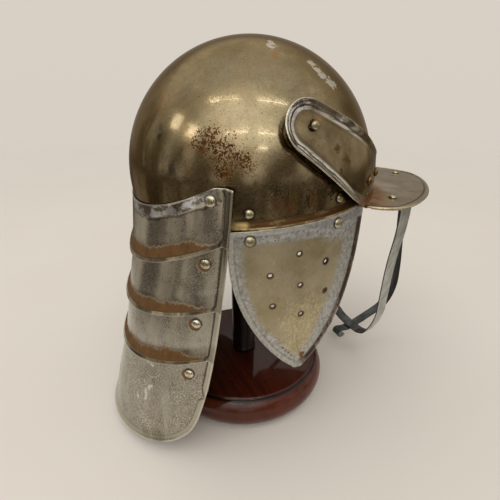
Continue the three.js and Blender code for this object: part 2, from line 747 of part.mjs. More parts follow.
function lame(number) {
  const top = lameEdges[number];
  const low = lameEdges[number + 1];
  const cells = 16;
  const rows = [];
  const addRow = (placeAt, liftAt) => {
    const line = [];
    for (let j = 0; j <= cells; j += 1) {
      const k = 2 * j / cells - 1;
      line.push(tailSurface(...placeAt(k), liftAt(k)));
    }
    rows.push(line);
  };
  const flare = (k) => lameFlare[1] + (lameFlare[0] - lameFlare[1]) * (1 - k ** 4);
  if (number > 0) addRow((k) => lameEdge(top, k, lameLap), () => -lameTuck);
  addRow((k) => lameEdge(top, k), () => 0);
  if (low) {
    const between = (k) => lameEdge(top, k).map((value, n) => (value + lameEdge(low, k, lameFlareRun)[n]) / 2);
    addRow(between, () => 0);
    addRow((k) => lameEdge(low, k, lameFlareRun), () => 0);
    addRow((k) => lameEdge(low, k, lameFlareRun * 0.5), (k) => flare(k) * 0.42);
    addRow((k) => lameEdge(low, k), flare);
  } else {
    [0.25, 0.5, 0.72, 0.88, 1].forEach((share) => {
      addRow((k) => lameEdge(top, k).map((value, n) => value + (footEdge(k)[n] - value) * share), () => 0);
    });
  }
  const sides = low ? ['left', 'right'] : ['left', 'right', 'bottom'];
  const rimAt = (side) => (side === 'bottom' ? [tailRim[0], tailFootLift] : tailRim);
  return shell(withRim(rows, sides, tailInside, rimAt), sheet, tailInside);
}

for (let number = 0; number < lameEdges.length; number += 1) {
  addMesh(helmet, `neck_lame_${number + 1}`, lame(number), 'steel');
}
cheekSides.forEach(([sideName, side]) => {
  tailRivets.forEach(([across, height], k) => {
    const seat = tailSurface(side * across, height, 0.2);
    const away = tailSurface(side * across, height, 1).sub(seat).normalize();
    addMesh(helmet, `tail_rivet_${sideName}_${k + 1}`, rivetHead(seat, away), 'brass');
  });
});

// Stand
function standBase() {
  const round = baseHeight / 2;
  const profile = [[0, 0], [baseRadius - round, 0]];
  [60, 30, 0, -30, -58].forEach((deg) => {
    profile.push([baseRadius - round + round * Math.cos(rad(deg)), round - round * Math.sin(rad(deg))]);
  });
  profile.push([basePlateRadius + 0.3, baseHeight - 2.2], [basePlateRadius - 0.8, baseHeight - 2.2]);
  profile.push([basePlateRadius - 2.4, baseHeight], [0, baseHeight]);
  return lathe(profile, 40);
}

function standColumn() {
  const reach = skullRadius - sheet - capGap - capCurve;
  const capCentre = helmetHeight + Math.sqrt(reach ** 2 - helmetForward ** 2);
  const profile = [[0, baseHeight + gap], [columnRadius + 1, baseHeight + gap]];
  profile.push([columnRadius + 1, baseHeight + 4], [columnRadius, baseHeight + 5]);
  const neck = capCentre + Math.sqrt(capCurve ** 2 - capRadius ** 2) - 12;
  profile.push([columnRadius, neck - 10], [capRadius - 4, neck], [capRadius, neck + 5]);
  const steps = 5;
  const start = Math.acos(capRadius / capCurve);
  for (let i = 0; i <= steps; i += 1) {
    const up = start + (Math.PI / 2 - start) * i / steps;
    profile.push([capCurve * Math.cos(up), capCentre + capCurve * Math.sin(up)]);
  }
  profile[profile.length - 1][0] = 0;
  return lathe(profile, 24);
}

const model = new THREE.Group();
model.name = 'lobster_tail_pot_helmet';
model.add(helmet);
addMesh(model, 'stand_base', standBase(), 'mahogany');
addMesh(model, 'stand_column', standColumn(), 'blackWood');
model.updateMatrixWorld(true);

export default model;
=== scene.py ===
# Lobster-tail pot helmet on its turned stand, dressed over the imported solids
import json
import math
import bpy
import numpy as np
from mathutils import Matrix, Vector

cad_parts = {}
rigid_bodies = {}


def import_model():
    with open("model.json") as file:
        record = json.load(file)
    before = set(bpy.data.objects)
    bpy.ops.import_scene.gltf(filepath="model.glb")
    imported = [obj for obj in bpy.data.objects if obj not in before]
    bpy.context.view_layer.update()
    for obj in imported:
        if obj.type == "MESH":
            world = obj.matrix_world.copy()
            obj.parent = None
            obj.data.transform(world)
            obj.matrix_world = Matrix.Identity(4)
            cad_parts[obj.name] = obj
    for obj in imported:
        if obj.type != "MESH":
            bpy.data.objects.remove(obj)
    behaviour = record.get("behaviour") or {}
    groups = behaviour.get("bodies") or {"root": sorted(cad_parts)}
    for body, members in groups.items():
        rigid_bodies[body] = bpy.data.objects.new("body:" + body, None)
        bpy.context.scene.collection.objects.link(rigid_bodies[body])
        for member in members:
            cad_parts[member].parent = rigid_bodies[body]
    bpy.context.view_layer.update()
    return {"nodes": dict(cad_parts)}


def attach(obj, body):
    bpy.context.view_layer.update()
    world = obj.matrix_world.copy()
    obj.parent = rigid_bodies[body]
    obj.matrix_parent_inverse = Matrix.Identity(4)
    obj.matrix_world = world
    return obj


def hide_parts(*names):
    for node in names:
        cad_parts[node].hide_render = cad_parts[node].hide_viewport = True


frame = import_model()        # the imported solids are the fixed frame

print("frame loaded:", len(frame["nodes"]), "solids")

# Where the helmet sits on its stand, in millimetres
seat = {"forward": 8.0, "height": 251.0, "tiltDeg": 3.9}
sheet = 1.2


# Places
def around(deg, radius, height):
    # bearing from the front, positive to the helmet's right
    turn = np.radians(deg)
    parts = np.broadcast_arrays(-radius * np.sin(turn), -radius * np.cos(turn), height)
    return np.stack(parts, axis=-1)


def level(points):
    return (np.asarray(points, float) + [0, -seat["forward"], seat["height"]]) / 1000


def tilted(points):
    points = np.asarray(points, float)
    turn = math.radians(seat["tiltDeg"])
    y = points[..., 1] * math.cos(turn) + points[..., 2] * math.sin(turn)
    z = -points[..., 1] * math.sin(turn) + points[..., 2] * math.cos(turn)
    return level(np.stack([points[..., 0], y, z], axis=-1))


def ease(value, low, high):
    t = np.clip((np.asarray(value, float) - low) / (high - low), 0, 1)
    return t * t * (3 - 2 * t)


def readTable(rows, at, smooth=False):
    # rows run from high to low
    rows = np.array(rows, float)
    at = np.asarray(at, float)
    n = np.clip(np.searchsorted(-rows[:, 0], -at, side="right"), 1, len(rows) - 1)
    (x0, y0), (x1, y1) = rows[n - 1].T, rows[n].T
    t = (at - x0) / (x1 - x0)
    plain = y0 + (y1 - y0) * t
    if not smooth:
        return plain
    slope = np.gradient(rows[:, 1], rows[:, 0])
    h = x1 - x0
    m0, m1 = slope[n - 1] * h, slope[n] * h
    curve = (2 * t**3 - 3 * t**2 + 1) * y0 + (t**3 - 2 * t**2 + t) * m0
    curve = curve + (-2 * t**3 + 3 * t**2) * y1 + (t**3 - t**2) * m1
    return np.where((t < 0) | (t > 1), plain, curve)


# Mesh making
def faceNormals(verts, faces):
    quads = verts[faces]
    return np.cross(quads[:, 2] - quads[:, 0], quads[:, 3] - quads[:, 1])


def pointNormals(verts, faces):
    across = faceNormals(verts, faces)
    total = np.zeros_like(verts)
    for corner in range(4):
        np.add.at(total, faces[:, corner], across)
    return total / np.maximum(np.linalg.norm(total, axis=1, keepdims=True), 1e-12)


class sheetMaker:
    # gathers the outer face of a plate, then gives it a wall with a rolled edge
    def __init__(self, grid, inside):
        self.rows, self.columns = grid.shape[:2]
        self.verts = grid.reshape(-1, 3).copy()
        cell = np.arange(self.rows * self.columns).reshape(self.rows, self.columns)
        self.cell = cell
        corners = [cell[:-1, :-1], cell[1:, :-1], cell[1:, 1:], cell[:-1, 1:]]
        self.faces = np.stack([c.ravel() for c in corners], axis=1)
        self.inside = np.array(inside, float)
        normals = pointNormals(self.verts, self.faces)
        if np.sum(normals * (self.verts - self.inside)) < 0:
            self.faces = self.faces[:, ::-1]
        self.normals = pointNormals(self.verts, self.faces)

    def addRim(self, path, inner, widths, lifts, closed=False, power=1.4, steps=6):
        # path and inner are point numbers: the border and its inside neighbours
        path = np.array(path)
        place = self.verts[path]
        if closed:
            along = np.roll(place, -1, axis=0) - np.roll(place, 1, axis=0)
        else:
            along = np.gradient(place, axis=0)
        normal = self.normals[path]
        out = np.cross(along, normal)
        out /= np.maximum(np.linalg.norm(out, axis=1, keepdims=True), 1e-9)
        away = np.sum(out * (place - self.verts[np.array(inner)]), axis=1)
        if np.sum(away) < 0:
            out = -out
        for _ in range(3):
            if closed:
                out = (np.roll(out, 1, 0) + 2 * out + np.roll(out, -1, 0)) / 4
            else:
                out[1:-1] = (out[:-2] + 2 * out[1:-1] + out[2:]) / 4
        out /= np.maximum(np.linalg.norm(out, axis=1, keepdims=True), 1e-9)
        widths = np.broadcast_to(np.asarray(widths, float), len(path))[:, None]
        lifts = np.broadcast_to(np.asarray(lifts, float), len(path))[:, None]
        before = path
        for k in range(1, steps + 1):
            t = k / steps
            row = place + out * widths * t + normal * lifts * t**power
            numbers = np.arange(len(row)) + len(self.verts)
            self.verts = np.vstack([self.verts, row])
            a, b = before, numbers
            if closed:
                a2, b2 = np.roll(a, -1), np.roll(b, -1)
            else:
                a, a2, b, b2 = a[:-1], a[1:], b[:-1], b[1:]
            strip = np.stack([a, a2, b2, b], axis=1)
            flow = faceNormals(self.verts, strip)
            wanted = self.normals[a if not closed else path] if k == 1 else None
            if k == 1:
                self.stripTurned = np.sum(flow * wanted) < 0
            if self.stripTurned:
                strip = strip[:, ::-1]
            self.faces = np.vstack([self.faces, strip])
            before = numbers
        return before

    def border(self):
        edges = {}
        for face in self.faces:
            for k in range(4):
                a, b = int(face[k]), int(face[(k + 1) % 4])
                if a == b:
                    continue
                if (b, a) in edges:
                    del edges[(b, a)]
                else:
                    edges[(a, b)] = True
        following = {a: b for a, b in edges}
        loops = []
        while following:
            start = next(iter(following))
            loop = [start]
            at = following.pop(start)
            while at != start and at in following:
                loop.append(at)
                at = following.pop(at)
            loops.append(np.array(loop))
        return loops

    def wall(self, thickness=sheet, roll=0.34):
        verts, faces = self.verts, self.faces
        count = len(verts)
        normals = pointNormals(verts, faces)
        allVerts = [verts, verts - normals * thickness]
        allFaces = [faces, faces[:, ::-1] + count]
        fill = 2 * count
        loops = self.border()
        self.edgePoints = np.vstack([verts[loop] for loop in loops])
        for loop in loops:
            place, normal = verts[loop], normals[loop]
            along = np.roll(place, -1, axis=0) - np.roll(place, 1, axis=0)
            out = np.cross(along, normal)
            out /= np.maximum(np.linalg.norm(out, axis=1, keepdims=True), 1e-9)
            ring = [loop]
            for depth, reach in ((0.12, 0.7), (0.5, 1.0), (0.88, 0.7)):
                row = place - normal * thickness * depth + out * thickness * roll * reach
                allVerts.append(row)
                ring.append(np.arange(len(loop)) + fill)
                fill += len(loop)
            ring.append(loop + count)
            for a, b in zip(ring[:-1], ring[1:]):
                strip = np.stack([np.roll(a, -1), a, b, np.roll(b, -1)], axis=1)
                allFaces.append(strip)
        return np.vstack(allVerts), np.vstack(allFaces)

    def fromEdge(self, points):
        nearest = np.full(len(points), 1e9)
        for start in range(0, len(self.edgePoints), 64):
            part = self.edgePoints[start:start + 64]
            gap = np.linalg.norm(points[:, None] - part[None], axis=2).min(axis=1)
            nearest = np.minimum(nearest, gap)
        return nearest


def makePiece(name, verts, faces, values=None, material=None):
    # verts in metres; faces may hold repeated corners where a grid runs to a point
    mesh = bpy.data.meshes.new(name)
    clean = []
    for face in faces.tolist():
        ring = [v for k, v in enumerate(face) if v != face[k - 1]]
        if len(set(ring)) >= 3:
            clean.append(ring)
    mesh.from_pydata(verts.tolist(), [], clean)
    for label, data in (values or {}).items():
        layer = mesh.attributes.new(label, "FLOAT", "POINT")
        layer.data.foreach_set("value", np.asarray(data, np.float32))
    mesh.polygons.foreach_set("use_smooth", np.ones(len(mesh.polygons), bool))
    mesh.validate()
    mesh.update()
    piece = bpy.data.objects.new(name, mesh)
    bpy.context.scene.collection.objects.link(piece)
    if material:
        mesh.materials.append(material)
    return piece


def turnedMesh(profile, segments):
    # a closed turned form from a profile of radius and height that starts and ends on the axis
    profile = np.array(profile, float)
    ring = profile[1:-1]
    turn = np.linspace(0, 2 * math.pi, segments, endpoint=False)
    grid = np.stack([ring[:, :1] * -np.sin(turn), ring[:, :1] * -np.cos(turn),
                     np.repeat(ring[:, 1:], segments, axis=1)], axis=-1)
    verts = np.vstack([grid.reshape(-1, 3), [[0, 0, profile[0, 1]], [0, 0, profile[-1, 1]]]])
    cell = np.arange(len(ring) * segments).reshape(len(ring), segments)
    beside = np.roll(cell, -1, axis=1)
    corners = [cell[:-1], cell[1:], beside[1:], beside[:-1]]
    faces = np.stack([c.ravel() for c in corners], axis=1)
    first, last = len(verts) - 2, len(verts) - 1
    ends = []
    for pole, row, side in ((first, 0, 1), (last, -1, -1)):
        a, b = (cell[row], beside[row]) if side > 0 else (beside[row], cell[row])
        ends.append(np.stack([np.full(segments, pole), a, b, b], axis=1))
    faces = np.vstack([faces] + ends)
    p = verts[faces]
    crossed = np.cross(p[:, 1], p[:, 2]) + np.cross(p[:, 2], p[:, 3])
    if np.sum(p[:, 0] * crossed) < 0:
        faces = faces[:, ::-1]
    return verts, faces


def curveAt(a, b, c, d, t):
    # from b to c, with a before and d after
    slope, bend, twist = c - a, 2 * a - 5 * b + 4 * c - d, 3 * b - a - 3 * c + d
    return 0.5 * (2 * b + slope * t + bend * t**2 + twist * t**3)


def smoothPath(points, spacing):
    # a curve through the points, cut to equal steps
    points = np.array(points, float)
    ends = np.vstack([2 * points[0] - points[1], points, 2 * points[-1] - points[-2]])
    fine = []
    for n in range(1, len(ends) - 2):
        a, b, c, d = ends[n - 1:n + 3]
        for t in np.linspace(0, 1, 12, endpoint=False):
            fine.append(curveAt(a, b, c, d, t))
    fine = np.array(fine + [points[-1]])
    run = np.concatenate([[0], np.cumsum(np.linalg.norm(np.diff(fine[:, :3], axis=0), axis=1))])
    steps = np.linspace(0, run[-1], max(int(run[-1] / spacing), 2) + 1)
    return np.stack([np.interp(steps, run, fine[:, k]) for k in range(fine.shape[1])], axis=1)


# Node helpers
def paint(red, green, blue):
    # screen colour, 0 to 255, to the values that the sockets take
    def one(v):
        v = v / 255
        return v / 12.92 if v <= 0.04045 else ((v + 0.055) / 1.055) ** 2.4
    return (one(red), one(green), one(blue), 1.0)


class nodeNet:
    def __init__(self, tree):
        self.tree = tree

    def add(self, kind, inputs=None, **settings):
        node = self.tree.nodes.new(kind)
        for key, value in settings.items():
            setattr(node, key, value)
        for key, value in (inputs or {}).items():
            self.feed(node.inputs[key], value)
        return node

    def made(self, kind, inputs=None, **settings):
        return self.add(kind, inputs, **settings).outputs[0]

    def feed(self, socket, value):
        if isinstance(value, bpy.types.NodeSocket):
            self.tree.links.new(value, socket)
        elif value is not None:
            # three values for a colour are screen values, 0 to 255
            screen = socket.type == "RGBA" and len(value) == 3
            socket.default_value = paint(*value) if screen else value

    def math(self, operation, a, b=None, clamp=False):
        return self.made("ShaderNodeMath", {0: a, 1: b}, operation=operation, use_clamp=clamp)

    def times(self, a, b, clamp=False):
        return self.math("MULTIPLY", a, b, clamp)

    def plus(self, a, b, clamp=False):
        return self.math("ADD", a, b, clamp)

    def minus(self, a, b, clamp=False):
        return self.math("SUBTRACT", a, b, clamp)

    def most(self, first, *others):
        for other in others:
            first = self.math("MAXIMUM", first, other)
        return first

    def pull(self, noise, reach):
        # swings to both sides of nothing
        return self.times(self.minus(noise, 0.5), reach)

    def stripe(self, value, start, low, high, end):
        # full between low and high, none outside start and end
        return self.times(self.fade(value, end, high), self.fade(value, start, low))

    def vector(self, operation, a, b=None):
        node = self.add("ShaderNodeVectorMath", {0: a, 1: b}, operation=operation)
        single = operation in ("DISTANCE", "DOT_PRODUCT", "LENGTH")
        return node.outputs["Value" if single else "Vector"]

    def mix(self, share, a, b, blend="MIX"):
        node = self.add("ShaderNodeMix", data_type="RGBA", blend_type=blend)
        for n, value in ((0, share), (6, a), (7, b)):
            self.feed(node.inputs[n], value)
        return node.outputs[2]

    def fade(self, value, low, high, start=0.0, end=1.0):
        inputs = {"Value": value, "From Min": low, "From Max": high, "To Min": start, "To Max": end}
        return self.made("ShaderNodeMapRange", inputs, interpolation_type="SMOOTHSTEP")

    def noise(self, where, scale, detail=3.0, rough=0.55, warp=0.0):
        inputs = {"Vector": where, "Scale": scale, "Detail": detail, "Roughness": rough,
                  "Distortion": warp}
        return self.add("ShaderNodeTexNoise", inputs).outputs["Fac"]

    def cells(self, where, scale):
        return self.add("ShaderNodeTexVoronoi",
                        {"Vector": where, "Scale": scale}).outputs["Distance"]

    def stretch(self, where, scale, place=(0, 0, 0)):
        inputs = {"Vector": where, "Location": place, "Scale": scale}
        return self.made("ShaderNodeMapping", inputs)

    def group(self, tree, inputs):
        return self.made("ShaderNodeGroup", inputs, node_tree=tree)

    def value(self, label):
        return self.add("ShaderNodeAttribute", attribute_name=label).outputs["Fac"]


def effectGroup(name, inputs, build, result=("Mask", "Float")):
    tree = bpy.data.node_groups.new(name, "ShaderNodeTree")
    for label, start in inputs.items():
        kind = "NodeSocketVector" if isinstance(start, tuple) else "NodeSocketFloat"
        tree.interface.new_socket(label, in_out="INPUT", socket_type=kind).default_value = start
    tree.interface.new_socket(result[0], in_out="OUTPUT", socket_type="NodeSocket" + result[1])
    net = nodeNet(tree)
    given = net.add("NodeGroupInput").outputs
    net.feed(net.add("NodeGroupOutput").inputs[0], build(net, given))
    return tree


# Effects that several finishes share
def buildSpeckle(net, given):
    grain = net.noise(given["Vector"], given["Scale"], 4.0, 0.62)
    edge = net.minus(0.74, net.times(given["Cover"], 0.44))
    high = net.plus(edge, given["Soft"])
    return net.fade(grain, edge, high)


speckle = effectGroup("fine speckle", {"Vector": (0, 0, 0), "Scale": 400.0, "Cover": 0.3,
                                       "Soft": 0.05}, buildSpeckle)


def buildSpot(net, given):
    drift = net.noise(given["Vector"], given["Scale"], 5.0, 0.6)
    away = net.vector("DISTANCE", given["Vector"], given["Centre"])
    share = net.math("DIVIDE", away, given["Size"])
    pull = net.pull(drift, given["Ragged"])
    return net.fade(net.plus(share, pull), 1.0, given["Core"])


stainSpot = effectGroup("stain spot", {"Vector": (0, 0, 0), "Centre": (0, 0, 0), "Size": 0.01,
                                       "Ragged": 1.5, "Scale": 120.0, "Core": 0.3}, buildSpot)


def buildEdgeWear(net, given):
    drift = net.noise(given["Vector"], given["Scale"], 5.0, 0.62)
    pull = net.pull(drift, given["Ragged"])
    return net.fade(net.plus(given["Edge"], pull), given["Width"], given["Core"])


edgeWear = effectGroup("edge wear", {"Vector": (0, 0, 0), "Edge": 0.0, "Width": 3.0, "Core": 1.0,
                                     "Ragged": 4.0, "Scale": 150.0}, buildEdgeWear)


def buildRust(net, given):
    blotch = net.noise(given["Vector"], given["Scale"], 5.0, 0.65)
    fine = net.noise(given["Vector"], net.times(given["Scale"], 6.0), 3.0, 0.6)
    tone = net.mix(net.fade(blotch, 0.32, 0.68), (56, 35, 16), (104, 68, 28))
    tone = net.mix(net.fade(fine, 0.5, 0.7), tone, (42, 27, 14))
    return tone


rustTone = effectGroup("rust tone", {"Vector": (0, 0, 0), "Scale": 120.0}, buildRust,
                       ("Color", "Color"))


def buildScratches(net, given):
    lined = net.vector("MULTIPLY", given["Vector"], given["Stretch"])
    hair = net.noise(lined, given["Scale"], 2.0, 0.5)
    thin = net.math("ABSOLUTE", net.minus(hair, 0.5))
    where = net.noise(given["Vector"], 38.0, 3.0, 0.6)
    line = net.fade(thin, given["Width"], 0.0)
    return net.times(line, net.fade(where, 0.5, 0.62))


scratches = effectGroup("hair scratches", {"Vector": (0, 0, 0), "Stretch": (1, 1, 0.05),
                                           "Scale": 500.0, "Width": 0.012}, buildScratches)


def buildRivetRing(net, given):
    away = net.times(net.vector("DISTANCE", given["Vector"], given["Centre"]), 1000.0)
    drift = net.noise(given["Vector"], 260.0, 4.0, 0.6)
    away = net.plus(away, net.pull(drift, given["Ragged"]))
    return net.fade(away, given["Outer"], given["Inner"])


rivetRing = effectGroup("rivet ring", {"Vector": (0, 0, 0), "Centre": (0, 0, 0), "Inner": 3.6,
                                       "Outer": 5.2, "Ragged": 1.6}, buildRivetRing)


class finishNet(nodeNet):
    # one material: its shader, its object coordinates and a tone that is laid on in coats
    def __init__(self, name):
        self.material = bpy.data.materials.new(name)
        self.material.use_nodes = True
        super().__init__(self.material.node_tree)
        self.tree.nodes.clear()
        self.shader = self.add("ShaderNodeBsdfPrincipled", {"Specular IOR Level": 0.2})
        self.tree.links.new(self.shader.outputs[0], self.add("ShaderNodeOutputMaterial").inputs[0])
        self.where = self.add("ShaderNodeTexCoord").outputs["Object"]
        self.folded = self.tone = None

    def give(self, socket, value):
        self.feed(self.shader.inputs[socket], value)

    def lay(self, color, mask, share=None):
        if share:
            mask = self.times(mask, share)
        self.tone = self.mix(mask, self.tone, color)

    def bothSides(self):
        # the same spot for left and right
        if not self.folded:
            parts = self.add("ShaderNodeSeparateXYZ", {0: self.where}).outputs
            inputs = {0: self.math("ABSOLUTE", parts[0]), 1: parts[1], 2: parts[2]}
            self.folded = self.made("ShaderNodeCombineXYZ", inputs)
        return self.folded

    def specks(self, scale, cover, soft, where=None):
        inputs = {"Vector": where or self.where, "Scale": scale, "Cover": cover, "Soft": soft}
        return self.group(speckle, inputs)

    def rust(self, scale):
        return self.group(rustTone, {"Vector": self.where, "Scale": scale})

    def hair(self, stretch, scale, width):
        inputs = {"Vector": self.where, "Stretch": stretch, "Scale": scale, "Width": width}
        return self.group(scratches, inputs)

    def spots(self, rows, ragged, scale, core, folded=False):
        where = self.bothSides() if folded else self.where
        masks = []
        for x, y, z, size in rows:
            inputs = {"Vector": where, "Centre": (x / 1000, y / 1000, z / 1000),
                      "Size": size / 1000, "Ragged": ragged, "Scale": scale, "Core": core}
            masks.append(self.group(stainSpot, inputs))
        return self.most(*masks)

    def away(self, centre):
        return self.times(self.vector("DISTANCE", self.where, centre), 1000.0)

    def circle(self, away, radius, soft):
        # a thin line at one radius, in millimetres
        return self.fade(self.math("ABSOLUTE", self.minus(away, radius)), soft, 0.2)

    def rings(self, rows, inner, outer, ragged=1.6, folded=True):
        where = self.bothSides() if folded else self.where
        masks = []
        for centre in rows:
            inputs = {"Vector": where, "Centre": tuple(float(v) for v in centre), "Inner": inner,
                      "Outer": outer, "Ragged": ragged}
            masks.append(self.group(rivetRing, inputs))
        return self.most(*masks)

    def done(self, layers):
        # bumps as rows of height, strength and distance in metres, coarse first
        normal = None
        for height, strength, distance in layers:
            inputs = {"Strength": strength, "Distance": distance, "Height": height,
                      "Normal": normal}
            normal = self.made("ShaderNodeBump", inputs)
        self.give("Normal", normal)
        self.give("Base Color", self.tone)
        return self.material


# Bowl
bowl = {
    "radius": 112.0, "brimDrop": 14.0, "segments": 240, "rows": 72,
    "rearFade": (112, 138), "frontFade": (52, 66),
    "rivets": {"rear": (114.5, -8.6), "front": (76.1, -8.4)},
    "light": (153, 139, 107), "dark": (134, 117, 80),
    "rust": [(-90, 51, 284, 22), (-84, 59, 291, 18), (-95, 42, 277, 17), (-93, 52, 269, 15),
             (-80, 64, 287, 15)],
    "worn": [(-66, -30.3, 338.2, 4.6), (-71, -32, 333.8, 5.2), (-76.5, -40, 325.2, 6),
             (-74, -35, 329.5, 5)],
    "wornBack": [(-48, -4, 351.9, 4.5), (-52, -2, 349.8, 3.2), (-44, -6, 353.2, 3)],
    "wornStreak": [(-64, 0, 342.3, 4), (-60, -2, 344.6, 4)],
    "smudge": [(-45.6, 83.9, 294.9, 5), (-47, 85, 289, 4.5), (-63.3, 82.2, 268.8, 6),
               (-71, 72, 262, 6)],
    "brown": [(-108.6, 16.1, 246, 9), (-109.5, 10, 242, 8)],
    "dirt": [(-107.9, 20, 256, 13), (-111, -7, 247, 18), (-109, 8, 250, 15), (-108, -24, 250, 14)],
    "streaked": [(-36, 94, 280, 52), (-20, 92, 300, 50)],
    # spots of painted gold highlight on the brim
    "goldHighlight": [(-97.9, 47.6, 230, 9), (-101, 42, 230, 7)],
    # the brim's section, as radius and height
    "brim": [(111.25, -15.2), (111.7, -16.3), (112.5, -17.2), (113.5, -17.9), (114.5, -18.4),
             (115.1, -18.8), (115.4, -19.3), (115.4, -19.8), (115.1, -20.15), (114.6, -20.2),
             (113.4, -19.7), (112.0, -18.9), (110.9, -17.6), (110.2, -16.0)],
}


def bowlMesh():
    low = -math.asin(bowl["brimDrop"] / bowl["radius"])
    inner = bowl["radius"] - sheet
    outer = [(0, bowl["radius"])]
    for n in range(1, bowl["rows"] + 1):
        up = math.pi / 2 + (low - math.pi / 2) * n / bowl["rows"]
        outer.append((bowl["radius"] * math.cos(up), bowl["radius"] * math.sin(up)))
    wallIn = []
    for n in range(bowl["rows"] + 1):
        up = low + (math.pi / 2 - low) * n / bowl["rows"]
        wallIn.append((inner * math.cos(up), inner * math.sin(up)))
    wallIn[-1] = (0, inner)
    verts, faces = turnedMesh(outer + bowl["brim"] + wallIn, bowl["segments"])
    radius = np.hypot(verts[:, 0], verts[:, 1])
    deg = np.degrees(np.abs(np.arctan2(verts[:, 0], -verts[:, 1])))
    fade = np.maximum(ease(deg, *bowl["rearFade"]), 1 - ease(deg, *bowl["frontFade"]))
    edge = math.sqrt(bowl["radius"]**2 - bowl["brimDrop"]**2)
    plain = np.where(radius > edge, edge - 0.5, edge - 0.5 - sheet)
    fade = np.where(verts[:, 2] < -bowl["brimDrop"] - 0.2, fade, 0)
    scale = (radius + (np.minimum(plain, radius) - radius) * fade) / np.maximum(radius, 1e-9)
    drop = verts[:, 2].copy()
    verts[:, :2] *= scale[:, None]
    return tilted(verts), faces, {"drop": drop, "rimShare": 1 - fade}


